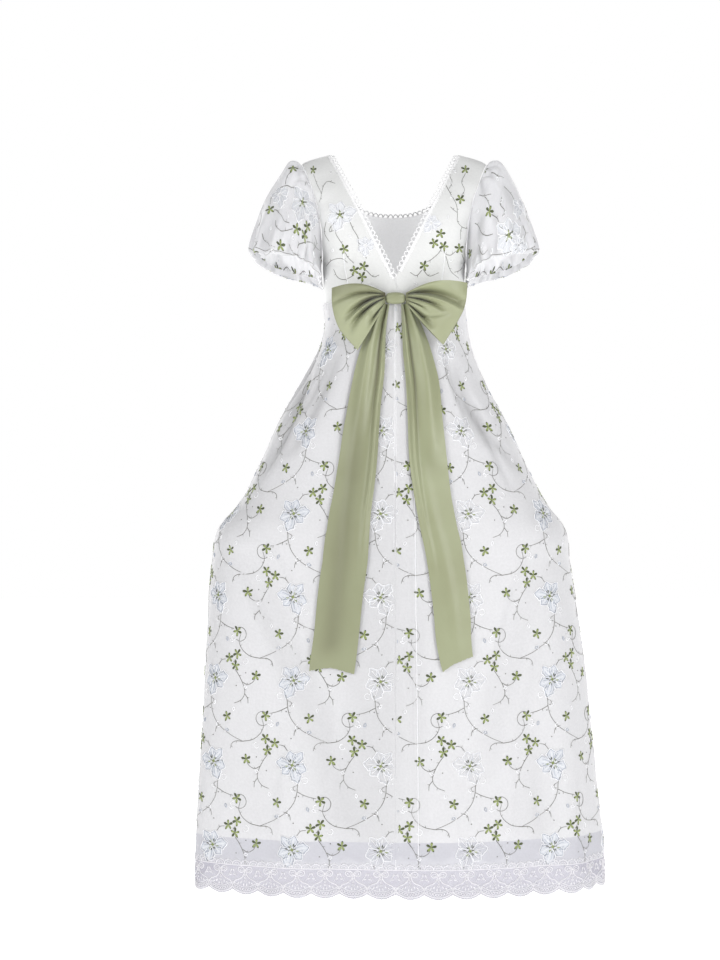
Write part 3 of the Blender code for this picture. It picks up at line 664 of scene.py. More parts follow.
def as_seen(flat_place, x, z):
    """Turns and spreads a flat flower so that it looks as it was drawn, seen from behind."""
    step = 0.010
    ends = [np.array(flat_place(x + a * step, z + b * step)) for a, b in ((-1, 0), (1, 0), (0, 1), (0, -1))]
    change = np.stack([ends[0] - ends[1], ends[2] - ends[3]], axis=-1) / (2.0 * step)
    left, sizes, right = np.linalg.svd(change)
    return left @ np.diag(np.clip(sizes, 0.85, 1.45)) @ right


def free_embroidery(plan, flat_place, turned=as_seen, fill=PETAL_SOFT):
    """Flowers, stems and drops of an upper panel, at places in whole mm: x and height as seen from behind."""

    def path_of(points):
        return [1000.0 * np.array(flat_place(x / 1000.0, z / 1000.0)) for x, z in points]

    stitches = Stitches()
    for kind, size in (("pale", 20.0), ("large", 31.0), ("green", 9.2)):
        for *spot, turn in plan.get(kind, ()):
            flower = Stitches()
            if kind != "green":
                large_flower(flower, np.zeros(2), turn, size, fill)
            if kind != "pale":
                green_flower(flower, np.zeros(2), turn, 9.2)
            x, z = spot[0] / 1000.0, spot[1] / 1000.0
            stitches.add(flower, flat_place(x, z), turned(flat_place, x, z))
    for points in plan["vines"]:
        vine(stitches, path_of(points))
    for x, z in plan["drops"]:
        drop(stitches, path_of([(x, z)])[0], 900.0 * (x / 1000.0), PETAL_WHITE)
    for points in plan.get("seams", ()):
        stitches.curve(path_of(points), 8, 2.2, PETAL_WHITE, 0.0012)
    return stitches.arrays()


def embroidery_repeat(filled):
    """One repeat of the embroidery round its large flower, which is filled or only outlined."""
    stitches = Stitches()
    large_flower(stitches, np.zeros(2), 14.0, 33.0, PETAL_PALE if filled else None)
    flowers = (
        ((34, 39), 20, 9.4), ((52, 47), 52, 9.4), ((48, 25), 85, 9.4), ((-71, 8), 10, 9.6),
        ((30, -68), 33, 9.4), ((-52, -64), 60, 9.6),
    )
    for spot, turn, size in flowers:
        green_flower(stitches, np.array(spot, float), turn, size)
    vines = (
        ((-13, -26), (-10, -38), (-9, -50), (-3, -68), (12, -86), (38, -102), (64, -113)),
        ((64, -113), (84, -109), (99, -98), (106, -84), (103, -70)),
        ((-10, -48), (-22, -54), (-34, -58), (-44, -60)),
        ((64, -113), (50, -113), (41, -118), (38, -127)),
        ((12, -86), (5, -90), (3, -99)),
        ((48, 18), (58, 4), (66, -12), (68, -26), (60, -38), (46, -44)),
        ((62, -4), (74, -9), (85, -4), (90, 4)),
        ((68, -26), (74, -34), (75, -43)),
        ((41, 41), (46, 43)),
        ((44, 31), (49, 37)),
        ((9, 26), (16, 34), (26, 36)),
    )
    for points in vines:
        vine(stitches, points)
    curls = (
        ((-24, -27), 5.2, 30, 280, PETAL_WHITE), ((-58, -70), 13.0, 60, 250, VINE),
        ((-6, -42), 4.0, 250, 200, VINE), ((70, 34), 5.2, 200, 250, PETAL_WHITE),
        ((-44, -76), 5.0, 230, 230, PETAL_WHITE), ((10, -84), 4.5, 90, 230, PETAL_WHITE),
    )
    for spot, radius, start, sweep, tone in curls:
        stitches.line(circle(spot, radius, 11, start, sweep), 1.0, tone, 0.0007)
    drops = (
        (-2, -48, 60, 1), (66, -14, 10, 1), (-34, 58, 20, 0), (30, 70, 110, 0), (44, -58, 80, 1),
        (-36, -80, 200, 1), (30, -90, 240, 1),
    )
    for x, y, turn, white in drops:
        drop(stitches, np.array([x, y], float), math.radians(turn), PETAL_WHITE if white else PETAL_BLUE)
    for x, y in ((-12, -56), (50, -12), (2, 48), (70, 12)):
        stitches.petal((x - 1.1, y), (x + 1.3, y + 0.4), 2.2, VINE, 0.0010)
    return stitches.arrays()


def stamp(motif, places):
    """Copies of a flat motif: places are rows of (u, v, mirror, turn in degrees, scale)."""
    points, faces, tones = motif
    stamped = Stitches()
    for u, v, mirror, turn, scale in places:
        angle = math.radians(turn)
        x, y = points[:, 0] * mirror * scale, points[:, 1] * scale
        sine, cosine = math.sin(angle), math.cos(angle)
        moved = (u + x * cosine - y * sine, v + x * sine + y * cosine, points[:, 2])
        stamped.keep(np.stack(moved, axis=-1), faces if mirror > 0 else faces[:, ::-1], tones)
    return stamped.arrays()


def laid(name, flat, place, materials):
    """A piece from flat motifs laid on a surface: place gives the points and which of them are on it."""
    points, faces, tones = flat
    solid, on = place(points)
    keep = on[faces].all(axis=1)
    faces, tones = faces[keep], tones[keep]
    used = np.zeros(len(points), bool)
    used[faces.ravel()] = True
    renumber = np.cumsum(used) - 1
    return mesh_from(name, solid[used], renumber[faces], materials, tones=tones)


# Materials
def group_of(name, inputs, outputs):
    group = bpy.data.node_groups.new(name, "ShaderNodeTree")
    for label, value in inputs:
        socket = group.interface.new_socket(label, in_out="INPUT", socket_type="NodeSocketFloat")
        socket.default_value = value
    for label, kind in outputs:
        group.interface.new_socket(label, in_out="OUTPUT", socket_type=kind)
    start = group.nodes.new("NodeGroupInput")
    end = group.nodes.new("NodeGroupOutput")
    return group, start, end


def put(tree, kind, **values):
    node = tree.nodes.new(kind)
    for key, value in values.items():
        if hasattr(node, key):
            setattr(node, key, value)
        else:
            node.inputs[key.replace("_", " ")].default_value = value
    return node


def maths(tree, operation, a, b=None):
    node = tree.nodes.new("ShaderNodeMath")
    node.operation = operation
    for place, value in enumerate((a, b)):
        if value is None:
            continue
        if isinstance(value, (int, float)):
            node.inputs[place].default_value = value
        else:
            tree.links.new(value, node.inputs[place])
    return node.outputs[0]


def fed(tree, kind, vector, **values):
    """A texture node that reads one vector."""
    node = put(tree, kind, **values)
    tree.links.new(vector, node.inputs["Vector"])
    return node


def weave_group():
    """Crossing threads on the cloth's own UV map, in metres."""
    group, start, end = group_of(
        "woven_threads", (("Threads per metre", 1800.0), ("Unevenness", 0.3)),
        (("Height", "NodeSocketFloat"), ("Cover", "NodeSocketFloat")),
    )
    uv = put(group, "ShaderNodeUVMap", uv_map="cloth")
    split = put(group, "ShaderNodeSeparateXYZ")
    group.links.new(uv.outputs[0], split.inputs[0])
    noise = fed(group, "ShaderNodeTexNoise", uv.outputs[0], Scale=220.0, Detail=3.0)
    threads = []
    for axis in (0, 1):
        turns = maths(group, "MULTIPLY", split.outputs[axis], start.outputs[0])
        wave = maths(group, "SINE", maths(group, "MULTIPLY", turns, math.pi))
        threads.append(maths(group, "ABSOLUTE", wave))
    crossing = maths(group, "MAXIMUM", threads[0], threads[1])
    uneven = maths(group, "MULTIPLY", noise.outputs[0], start.outputs[1])
    height = maths(group, "ADD", crossing, uneven)
    group.links.new(height, end.inputs[0])
    group.links.new(maths(group, "ADD", maths(group, "MULTIPLY", crossing, 0.25), uneven), end.inputs[1])
    return group


def net_group():
    """Hexagon-like net of fine threads, as a mask."""
    group, start, end = group_of(
        "fine_net", (("Meshes per metre", 520.0), ("Thread", 0.16)), (("Mask", "NodeSocketFloat"),)
    )
    uv = put(group, "ShaderNodeUVMap", uv_map="cloth")
    cells = fed(group, "ShaderNodeTexVoronoi", uv.outputs[0], feature="DISTANCE_TO_EDGE",
                voronoi_dimensions="2D", Randomness=0.35)
    group.links.new(start.outputs[0], cells.inputs["Scale"])
    group.links.new(maths(group, "LESS_THAN", cells.outputs["Distance"], start.outputs[1]), end.inputs[0])
    return group


def thread_group():
    """Fine satin stitches across raised embroidery, on Object coordinates."""
    group, start, end = group_of(
        "satin_stitches", (("Scale", 900.0),), (("Height", "NodeSocketFloat"), ("Shade", "NodeSocketFloat"))
    )
    place = put(group, "ShaderNodeTexCoord").outputs["Object"]
    wave = fed(group, "ShaderNodeTexWave", place, Distortion=6.0, Detail=2.0)
    group.links.new(start.outputs[0], wave.inputs["Scale"])
    noise = fed(group, "ShaderNodeTexNoise", place, Scale=140.0, Detail=2.0)
    group.links.new(wave.outputs["Fac"], end.inputs[0])
    group.links.new(noise.outputs[0], end.inputs[1])
    return group


GROUPS = {"weave": weave_group(), "net": net_group(), "stitch": thread_group()}


def new_material(name, colour, roughness, **constants):
    material = bpy.data.materials.new(name)
    material.use_nodes = True
    shader = material.node_tree.nodes["Principled BSDF"]
    shader.inputs["Base Color"].default_value = (*colour, 1.0)
    shader.inputs["Roughness"].default_value = roughness
    for key, value in constants.items():
        shader.inputs[key.replace("_", " ")].default_value = value
    return material, material.node_tree, shader


def use_group(tree, name, **values):
    node = tree.nodes.new("ShaderNodeGroup")
    node.node_tree = GROUPS[name]
    for key, value in values.items():
        node.inputs[key.replace("_", " ")].default_value = value
    return node


def add_bump(tree, shader, height, strength, distance):
    bump = put(tree, "ShaderNodeBump", Strength=strength, Distance=distance)
    tree.links.new(height, bump.inputs["Height"])
    tree.links.new(bump.outputs[0], shader.inputs["Normal"])


def blend_colour(tree, mask, low, high):
    ramp = tree.nodes.new("ShaderNodeMix")
    ramp.data_type = "RGBA"
    ramp.inputs["A"].default_value = (*low, 1.0)
    ramp.inputs["B"].default_value = (*high, 1.0)
    tree.links.new(mask, ramp.inputs["Factor"])
    return ramp.outputs["Result"]


def soft_noise(tree, scale, detail=2.0):
    place = put(tree, "ShaderNodeTexCoord").outputs["Object"]
    return fed(tree, "ShaderNodeTexNoise", place, Scale=scale, Detail=detail).outputs[0]


def shade_folds(tree, tint, dark):
    """The cloth's colour with painted shade, darker where its fold attribute is high."""
    fold = put(tree, "ShaderNodeAttribute", attribute_name="fold")
    shaded = blend_colour(tree, fold.outputs["Fac"], dark, dark)
    tree.links.new(tint, shaded.node.inputs["A"])
    return shaded


def organza_material(name, cover, colour, glowing=False, sheer=None, painted_glow=0.0, dark=0.60):
    """Thin cloth; sheer is its colour and cover below the lining's lower edge, the darker colour a painted
    shade;
    its glow is painted light for daylight let through; dark is its colour's share left in full painted shade."""
    material, tree, shader = new_material(name, colour, 0.55, Sheen_Weight=0.25, Sheen_Roughness=0.4)
    weave = use_group(tree, "weave", Threads_per_metre=1500.0, Unevenness=0.35)
    tint = blend_colour(tree, soft_noise(tree, 9.0), tuple(0.965 * c for c in colour), colour)
    # Painted shade: the colour darkens where the fold attribute is high
    tint = shade_folds(tree, tint, tuple(dark * c for c in colour))
    open_share = maths(tree, "MULTIPLY", maths(tree, "SUBTRACT", weave.outputs[1], 0.35), 0.35)
    covered = maths(tree, "ADD", open_share, cover)
    if sheer:
        split = put(tree, "ShaderNodeSeparateXYZ")
        tree.links.new(put(tree, "ShaderNodeTexCoord").outputs["Object"], split.inputs[0])
        # Below the lining's lower edge the cloth is painted darker, a painted shade where no lining lies
        # behind it
        below = maths(tree, "LESS_THAN", split.outputs[2], LINING_HEM_Z)
        mixed = blend_colour(tree, below, colour, sheer[0])
        tree.links.new(tint, mixed.node.inputs["A"])
        tint = mixed
        covered = maths(tree, "ADD", covered, maths(tree, "MULTIPLY", below, sheer[1] - cover))
    tree.links.new(tint, shader.inputs["Base Color"])
    tree.links.new(covered, shader.inputs["Alpha"])
    if glowing:
        let_light_through(shader)
    # Painted light: the cloth gives off a little white light of its own
    glow(shader, painted_glow)
    add_bump(tree, shader, weave.outputs[0], 0.25, 0.0002)
    return material


def glow(shader, strength):
    """Gives a surface a little white light of its own."""
    shader.inputs["Emission Color"].default_value = (1.0, 1.0, 1.0, 1.0)
    shader.inputs["Emission Strength"].default_value = strength


def let_light_through(shader):
    """Light passes into and out of the thin wall."""
    shader.inputs["Subsurface Weight"].default_value = 0.7
    shader.inputs["Subsurface Scale"].default_value = 0.0015
    shader.inputs["Subsurface Radius"].default_value = (1.0, 1.0, 1.0)


def lining_material():
    material, tree, shader = new_material("white_lining_cloth", (0.94, 0.937, 0.95), 0.5, Sheen_Weight=0.15)
    glow(shader, LINING_GLOW)
    weave = use_group(tree, "weave", Threads_per_metre=2200.0, Unevenness=0.2)
    tint = blend_colour(tree, soft_noise(tree, 5.0), (0.915, 0.912, 0.925), (0.945, 0.942, 0.955))
    tree.links.new(tint, shader.inputs["Base Color"])
    add_bump(tree, shader, weave.outputs[0], 0.2, 0.0002)
    return material


def thread_material(name, colour, darker, roughness=0.5):
    material, tree, shader = new_material(name, colour, roughness, Sheen_Weight=0.2)
    stitch = use_group(tree, "stitch", Scale=900.0)
    tree.links.new(blend_colour(tree, stitch.outputs[1], darker, colour), shader.inputs["Base Color"])
    add_bump(tree, shader, stitch.outputs[0], 0.35, 0.0003)
    return material


def lace_net_material():
    material, tree, shader = new_material("white_lace_net", (0.88, 0.88, 0.89), 0.7)
    net = use_group(tree, "net", Meshes_per_metre=520.0, Thread=0.14)
    weave = use_group(tree, "weave", Threads_per_metre=2600.0, Unevenness=0.3)
    cover = maths(tree, "ADD", maths(tree, "MULTIPLY", net.outputs[0], 0.20), 0.62)
    tree.links.new(cover, shader.inputs["Alpha"])
    tint = blend_colour(tree, net.outputs[0], (0.46, 0.45, 0.52), (0.58, 0.57, 0.63))
    tree.links.new(tint, shader.inputs["Base Color"])
    add_bump(tree, shader, weave.outputs[0], 0.2, 0.0002)
    return material


def satin_material():
    material, tree, shader = new_material(
        "sage_green_satin", (0.33, 0.357, 0.225), 0.36, Anisotropic=0.45, Sheen_Weight=0.30,
        Sheen_Roughness=0.35
    )
    weave = use_group(tree, "weave", Threads_per_metre=1900.0, Unevenness=0.5)
    tint = blend_colour(tree, soft_noise(tree, 7.0, 4.0), (0.253, 0.261, 0.150), (0.372, 0.405, 0.252))
    # Painted shade: the satin darkens to deep brown where the fold attribute is high
    tree.links.new(shade_folds(tree, tint, (0.075, 0.066, 0.034)), shader.inputs["Base Color"])
    rough = maths(tree, "ADD", maths(tree, "MULTIPLY", soft_noise(tree, 60.0), 0.12), 0.30)
    tree.links.new(rough, shader.inputs["Roughness"])
    add_bump(tree, shader, weave.outputs[0], 0.15, 0.0002)
    return material


# Skirt cloth; below the lining's hem its colour is painted darker, a painted shade
ORGANZA = organza_material(
    "embroidered_organza_cloth", 0.66, (0.80, 0.798, 0.815), sheer=((0.60, 0.60, 0.645), 0.74)
)
SLEEVE_ORGANZA = organza_material("sleeve_organza_cloth", 0.90, (0.745, 0.745, 0.765), glowing=True)
# The sleeves' inner side is a lighter copy of their cloth, with painted light of its own and less painted
# shade
SLEEVE_INSIDE = organza_material(
    "sleeve_inner_cloth", 0.90, (0.82, 0.82, 0.84), glowing=True, painted_glow=0.20, dark=0.9
)
BODICE_CLOTH = organza_material("bodice_organza_cloth", 0.97, (0.74, 0.745, 0.74))
# The bodice's inner side has painted light of its own
BODICE_INSIDE = organza_material("bodice_inner_cloth", 0.97, (0.74, 0.74, 0.75), painted_glow=0.26)
# The front of the bodice is a darker copy of its cloth: painted shade
BODICE_FRONT_SHADED_CLOTH = organza_material("bodice_front_shaded_organza_cloth", 0.97, (0.67, 0.67, 0.68))
LINING = lining_material()
LACE_NET = lace_net_material()
LACE_CORD = thread_material("white_lace_cord", (0.85, 0.84, 0.87), (0.73, 0.72, 0.76), 0.6)
BRAID_CORD = thread_material("white_braid_cord", (0.96, 0.96, 0.96), (0.90, 0.90, 0.91), 0.6)
SATIN = satin_material()
THREADS = [
    thread_material("dark_green_thread", (0.090, 0.112, 0.036), (0.036, 0.047, 0.018)),
    thread_material("light_green_thread", (0.33, 0.39, 0.130), (0.20, 0.25, 0.085)),
    thread_material("grey_green_thread", (0.215, 0.215, 0.195), (0.12, 0.12, 0.108)),
    thread_material("white_thread", (0.96, 0.96, 0.965), (0.88, 0.885, 0.92)),
    thread_material("pale_blue_thread", (0.43, 0.47, 0.54), (0.30, 0.34, 0.42)),
    thread_material("pale_petal_thread", (0.72, 0.735, 0.77), (0.59, 0.61, 0.66)),
    thread_material("soft_petal_thread", (0.715, 0.73, 0.755), (0.63, 0.645, 0.68)),
    thread_material("light_petal_thread", (0.83, 0.84, 0.86), (0.76, 0.775, 0.81)),
]


# Skirt, lining and their embroidery
def skirt_heights(lowest, count):
    """Heights of a skirt's rows, closer together near the waist."""
    share = np.linspace(0.0, 1.0, count)
    return SKIRT_TOP_Z + (lowest - SKIRT_TOP_Z) * share ** 1.12


def edge_inset(angles, z, gap):
    """Angles of a row with the two edges moved in by half a seam's gap."""
    angles = angles.copy()
    for edge, turn in ((0, 0.01), (-1, -0.01)):
        ends = skirt_section(np.array([angles[edge], angles[edge] + turn]), np.array([z, z]))
        angles[edge] += 0.5 * gap * turn / np.linalg.norm(ends[1] - ends[0])
    return angles


def make_skirt_panels():
    panels = (
        ("skirt_back_left", 0.0, LEFT_SEAM, 68),
        ("skirt_front", LEFT_SEAM, RIGHT_SEAM, 132),
        ("skirt_back_right", RIGHT_SEAM, 2.0 * math.pi, 68),
    )
    heights = skirt_heights(LACE_TOP_Z + SEAM_GAP, PANEL_ROWS)
    fine = even_angles(2880, LACE_TOP_Z)
    pieces = {}
    for name, low, high, count in panels:
        inside = fine[(fine >= low - 1e-9) & (fine <= high + 1e-9)]
        base = np.interp(np.linspace(0, 1, count), np.linspace(0, 1, len(inside)), inside)
        base[0], base[-1] = low, high
        rows = [skirt_point(edge_inset(base, z, DRAWN_SEAM), np.full(count, z)) for z in heights]
        # Painted shade of the panel, kept as its fold attribute
        fold = np.array([skirt_shade(base, np.full(count, z)) for z in heights])
        pieces[name] = sheet_of(name + "_organza", np.array(rows), [ORGANZA], ORGANZA_WALL, fold=fold)
    return pieces


def make_lining():
    pieces = {}
    heights = skirt_heights(LINING_HEM_Z, LINING_ROWS)
    halves = (("lining_back", RIGHT_SEAM - 2.0 * math.pi, LEFT_SEAM), ("lining_front", LEFT_SEAM, RIGHT_SEAM))
    for name, low, high in halves:
        base = np.linspace(low, high, LINING_COLUMNS)
        rows = []
        for z in heights:
            lower = smooth_step(-WAIST_Z, -LINING_INSET_Z, -z)
            inset = LINING_INSET + (LINING_INSET_BELOW - LINING_INSET) * lower
            level = np.full(LINING_COLUMNS, z)
            rows.append(skirt_point(edge_inset(base, z, PANEL_GAP), level, -inset, fine=False))
        pieces[name] = sheet_of(name + "_cloth", np.array(rows), [LINING], LINING_WALL)
    return pieces


def skirt_placer(low, high, front):
    """Lays flat points on one panel of the skirt. u runs to the right as seen from outside."""
    full = 2.0 * math.pi
    margin, lowest = 0.0006, LACE_TOP_Z + 0.002

    def place(points):
        s, z = -points[:, 0], points[:, 1]
        angle = skirt_angle(s, z, front)
        turned = np.mod(angle, full)
        on = (turned > low + margin / SKIRT_RADIUS) & (turned < high - margin / SKIRT_RADIUS)
        if low == 0.0:
            on &= s > margin
        if high == full:
            on &= s < -margin
        on &= (z < WAIST_Z - 0.003) & (z > lowest)
        solid = skirt_point(angle, z, ORGANZA_WALL * 0.5 + 0.0001 + points[:, 2])
        return solid, on

    return place


def repeat_places(first_s, reach, front):
    """Places of the repeats over a skirt panel, every second row mirrored."""
    places = []
    for row in range(FLOWER_ROWS):
        z = FLOWER_ROWS_TOP_Z - REPEAT_HIGH * row
        mirror = -1 if (row + (1 if front else 0)) % 2 else 1
        for column in range(-7, 8):
            s = first_s + REPEAT_WIDE * column
            if -reach[1] - 0.1 < s < reach[0] + 0.1:
                places.append((-s, z, mirror, 0.0, 1.0))
    return places


def joined_flat(*parts):
    """Several flat motifs as one."""
    joined = Stitches()
    for part in parts:
        joined.keep(*part)
    return joined.arrays()


def seam_cords(way):
    """Light stitched line beside the centre back seam; on the right panel a second one along the placket."""
    stitches = Stitches()
    heights = np.linspace(-290.0, -1320.0, 150)
    aside = way * (SEAM_CORD_ASIDE + 0.15 * np.sin(heights * 0.11))
    stitches.line(np.stack([aside, heights], axis=-1), 1.1, PETAL_WHITE, 0.0005)
    if way > 0:
        heights = np.linspace(-PLACKET_TOP, -PLACKET_END, 60)
        aside = PLACKET_ASIDE + 5.0 * smooth_step(PLACKET_TOP, PLACKET_END, -heights)
        aside = aside + 0.3 * np.sin(heights * 0.09)
        stitches.line(np.stack([aside, heights], axis=-1), 1.5, PETAL_WHITE, 0.0012)
    return stitches.arrays()


def make_skirt_embroidery(filled, outlined):
    full = 2.0 * math.pi
    panels = (
        ("skirt_back_left", 0.0, LEFT_SEAM, False, BACK_COLUMN_S, (PANEL_REACH, 0.0)),
        ("skirt_back_right", RIGHT_SEAM, full, False, BACK_COLUMN_S, (0.0, PANEL_REACH)),
        ("skirt_front", LEFT_SEAM, RIGHT_SEAM, True, FRONT_COLUMN_S, (PANEL_REACH, PANEL_REACH)),
    )
    pieces = {}
    for name, low, high, front, first_s, reach in panels:
        places = repeat_places(first_s, reach, front)
        column = [round((-place[0] - first_s) / REPEAT_WIDE) for place in places]
        bold = [place for place, k in zip(places, column) if (k % 2 if front else k in (-1, 0))]
        soft = [place for place in places if place not in bold]
        flat = joined_flat(stamp(filled, soft), stamp(outlined, bold))
        if not front:
            flat = joined_flat(flat, seam_cords(-1 if low == 0.0 else 1))
        pieces[name] = laid(name + "_embroidery", flat, skirt_placer(low, high, front), THREADS)
    return pieces


# Lace hem
def lace_motif():
    """One scallop of the hem lace, drawn from its upper edge (v = 0) to its lower edge, in mm."""
    stitches = Stitches()
    pitch = LACE_PITCH * 1000.0
    half = 0.5 * pitch
    tone = 0
    # The curves of one half: points, points between two of them, closed or not, width and height
    curves = (
        (((0.6, -8.5), (5.0, -3.2), (11.5, -3.0), (14.0, -7.5), (10.5, -12.0), (4.5, -11.5)),
         4, True, 1.9, 0.0012),
        (((3.0, -8.2), (7.0, -5.8), (10.6, -7.4), (8.0, -9.8)), 4, True, 1.3, 0.0010),
        (((1.2, -11.5), (4.0, -18.0), (9.0, -23.0), (15.0, -25.5), (21.0, -28.5), (half, -35.0)),
         4, False, 2.0, 0.0012),
        (((0.0, -48.6), (7.0, -48.2), (14.0, -46.2), (20.0, -43.2), (half, -39.0)), 5, False, 2.2, 0.0012),
        (((0.0, -38.6), (6.5, -38.2), (12.5, -36.2), (18.0, -33.4), (half, -30.4)), 5, False, 1.5, 0.0010),
    )
    # Rows of rings: how many, height of the first, rise, radius, corners, width and height
    beads = ((5, -43.8, 8.6, 2.3, 9, 1.3, 0.0011), (6, -50.9, 9.0, 1.5, 7, 1.1, 0.0010))
    leaves = ((6.5, -27.5, 300), (11.5, -30.0, 320), (2.4, -31.5, 280), (19.0, -18.0, 20), (22.0, -11.5, 60))
    stitches.line(np.stack([np.linspace(-half, half, 14), np.full(14, 0.6)], -1), 2.0, tone, 0.0011)
    for k in range(3):
        x = -half + pitch * (k + 0.5) / 3
        wide = pitch / 6
        arch = [(x - wide, 1.0), (x - wide * 0.85, 6.0), (x, 9.4), (x + wide * 0.85, 6.0), (x + wide, 1.0)]
        stitches.curve(arch, 4, 1.6, tone, 0.0010)
        inner = [(x - wide * 0.5, 1.2), (x - wide * 0.4, 4.2), (x, 5.8), (x + wide * 0.4, 4.2),
                 (x + wide * 0.5, 1.2)]
        stitches.curve(inner, 3, 1.1, tone, 0.0009)
        for side in (-1, 0, 1):
            spot = (x + side * wide * 0.62, 9.0 + (1.6 if side == 0 else -0.9))
            stitches.ring(spot, 1.2, 6, 0.9, tone, 0.0009)
    for side in (-1, 1):
        for points, fine, closed, width, height in curves:
            stitches.curve([(side * x, y) for x, y in points], fine, width, tone, height, closed)
        for count, start, rise, radius, corners, width, height in beads:
            for k in range(count):
                share = (k + 0.5) / count
                spot = (side * half * share, start + rise * share ** 1.7)
                stitches.ring(spot, radius, corners, width, tone, height)
        for x, y, turn in leaves:
            way = directions(math.radians(turn))[0] * (side, 1.0)
            stitches.petal((side * x, y), np.array([side * x, y]) + way * 5.4, 2.6, tone, 0.0011)
        stem = [(side * 17.0, -20.5), (side * 20.5, -14.5), (side * 24.5, -8.0)]
        stitches.curve(stem, 4, 1.1, tone, 0.0009)
    stitches.ring((0.0, -8.2), 1.5, 8, 2.4, tone, 0.0014)
    for y in (-17.0, -22.5, -28.0):
        stitches.ring((0.0, y), 1.7, 7, 1.2, tone, 0.0010)
    return stitches.arrays()


LACE_ANGLES = even_angles(LACE_SCALLOPS * 3, LACE_TOP_Z)
LACE_LINE = skirt_section(np.linspace(0, 2 * math.pi, 1441), np.full(1441, LACE_TOP_Z))
LACE_ROUND = float(np.linalg.norm(np.diff(LACE_LINE, axis=0), axis=1).sum())
LACE_PITCH = LACE_ROUND / LACE_SCALLOPS
LACE_HALVES = (("lace_hem_back", -28, 28), ("lace_hem_front", 28, 86))


def lace_bottom(place):
    """Height of the scalloped edge at a number of thirds of a scallop."""
    scallop = np.abs(np.sin(math.pi * place / 3.0))
    return LACE_BOTTOM_Z + LACE_SCALLOP_DEPTH * (1.0 - scallop)


def lace_angle(place):
    """Angle at a place counted in thirds of a scallop from the centre back."""
    count = len(LACE_ANGLES) - 1
    turns = np.floor(np.asarray(place) / count)
    rest = np.asarray(place) - turns * count
    return np.interp(rest, np.arange(count + 1), LACE_ANGLES) + turns * 2.0 * math.pi


def make_lace():
    motif = lace_motif()
    pieces = []
    for name, first, last in LACE_HALVES:
        columns = (last - first) * 5 + 1
        places = np.linspace(first, last, columns)
        top, rows = LACE_TOP_Z, []
        bottom = lace_bottom(places) + 0.0006
        angles = edge_inset(lace_angle(places), LACE_TOP_Z, PANEL_GAP)
        for share in np.linspace(0.0, 1.0, 9):
            rows.append(skirt_point(angles, top + (bottom - top) * share))
        net = sheet_of(name + "_net", np.array(rows), [LACE_NET], 0.0003)

        def place(points):
            third = -points[:, 0] / (LACE_PITCH / 3.0)
            angle = lace_angle(third)
            z = LACE_TOP_Z + points[:, 1]
            on = (third > first + 0.02) & (third < last - 0.02)
            return skirt_point(angle, z, 0.0004 + points[:, 2]), on

        spots = [(-(k + 0.5) * LACE_PITCH, 0.0, 1, 0.0, 1.0) for k in range(first // 3 - 1, last // 3 + 2)]
        cords = laid(name + "_cords", stamp(motif, spots), place, [LACE_CORD])
        pieces.append((name, net, cords))
    return pieces


# Bodice form
def armhole_point(degrees, face):
    turn = np.radians(degrees)
    top, under = np.array(ARMHOLE_TOP), np.array(ARMHOLE_UNDER)
    middle, half = (top + under) * 0.5, (top - under) * 0.5
    x = middle[0] + half[0] * np.cos(turn) - ARMHOLE_SCOOP * np.sin(turn) ** 2
    y = face * (ARMHOLE_REACH * np.sin(turn) + 0.5 * BODICE_SEAM_GAP)
    return np.stack([x, y, middle[1] + half[1] * np.cos(turn)], axis=-1)


def back_edge(share, crossing):
    down = np.minimum(share, 1.0)
    past = np.clip((share - 1.0) / (BODICE_ROWS[-1][2] - 1.0), 0.0, 1.0)
    x = NECK_HALF_WIDTH * (1.0 - down) + 0.5 * PANEL_GAP + crossing * past
    y = WAIST_BACK_DEPTH * (1.0 - (1.0 - down) ** 2.8) + 0.5 * BODICE_SEAM_GAP
    z = BACK_V_FOOT_Z * down + (WAIST_Z - BACK_V_FOOT_Z) * past
    return np.stack([x, y, z], axis=-1)


def front_edge(share):
    along, past = np.minimum(share, 1.0), np.maximum(share - 1.0, 0.0)
    turn = 0.5 * math.pi * along
    x = np.where(share < 1.0, NECK_HALF_WIDTH * np.maximum(np.cos(turn), 0.0) ** 0.8, 0.0)
    y = UPPER_FRONT_DEPTH * (1.0 - (1.0 - along) ** 2.2) + 0.5 * BODICE_SEAM_GAP
    y = y + (WAIST_FRONT_DEPTH - UPPER_FRONT_DEPTH) * smooth_step(0.55, 1.0, past)
    z = FRONT_NECK_Z * np.sin(turn) + (WAIST_Z - FRONT_NECK_Z) * past
    return np.stack([x, -y, z], axis=-1)


def bodice_point(place, across, face, crossing=0.0):
    place, across = np.broadcast_arrays(np.asarray(place, float), np.asarray(across, float))
    numbers = np.array(BODICE_ROWS)
    steps = np.linspace(0.0, 1.0, len(BODICE_ROWS))
    armhole, side, back, front = (np.interp(place, steps, numbers[:, k]) for k in range(4))
    inner = back_edge(back, crossing) if face > 0 else front_edge(front)
    hole = armhole_point(armhole, face)
    under = armhole_point(np.full_like(armhole, 180.0), face)
    waist = np.array([WAIST_HALF_WIDTH, face * 0.5 * BODICE_SEAM_GAP, WAIST_Z])
    outer = np.where(side[..., None] > 0.0, under + (waist - under) * side[..., None], hole)
    turn = 0.5 * math.pi * across
    x = inner[..., 0] + (outer[..., 0] - inner[..., 0]) * np.sin(turn)
    y = outer[..., 1] + (inner[..., 1] - outer[..., 1]) * np.cos(turn)
    z = inner[..., 2] + (outer[..., 2] - inner[..., 2]) * across
    if face < 0:
        away = ((x - BUST["x"]) / BUST["width"]) ** 2 + ((z - BUST["z"]) / BUST["height"]) ** 2
        y = y - BUST["depth"] * np.exp(-away)
    return np.stack([x, y, z], axis=-1)


def mirrored(points, side):
    return points * np.array([side, 1.0, 1.0])


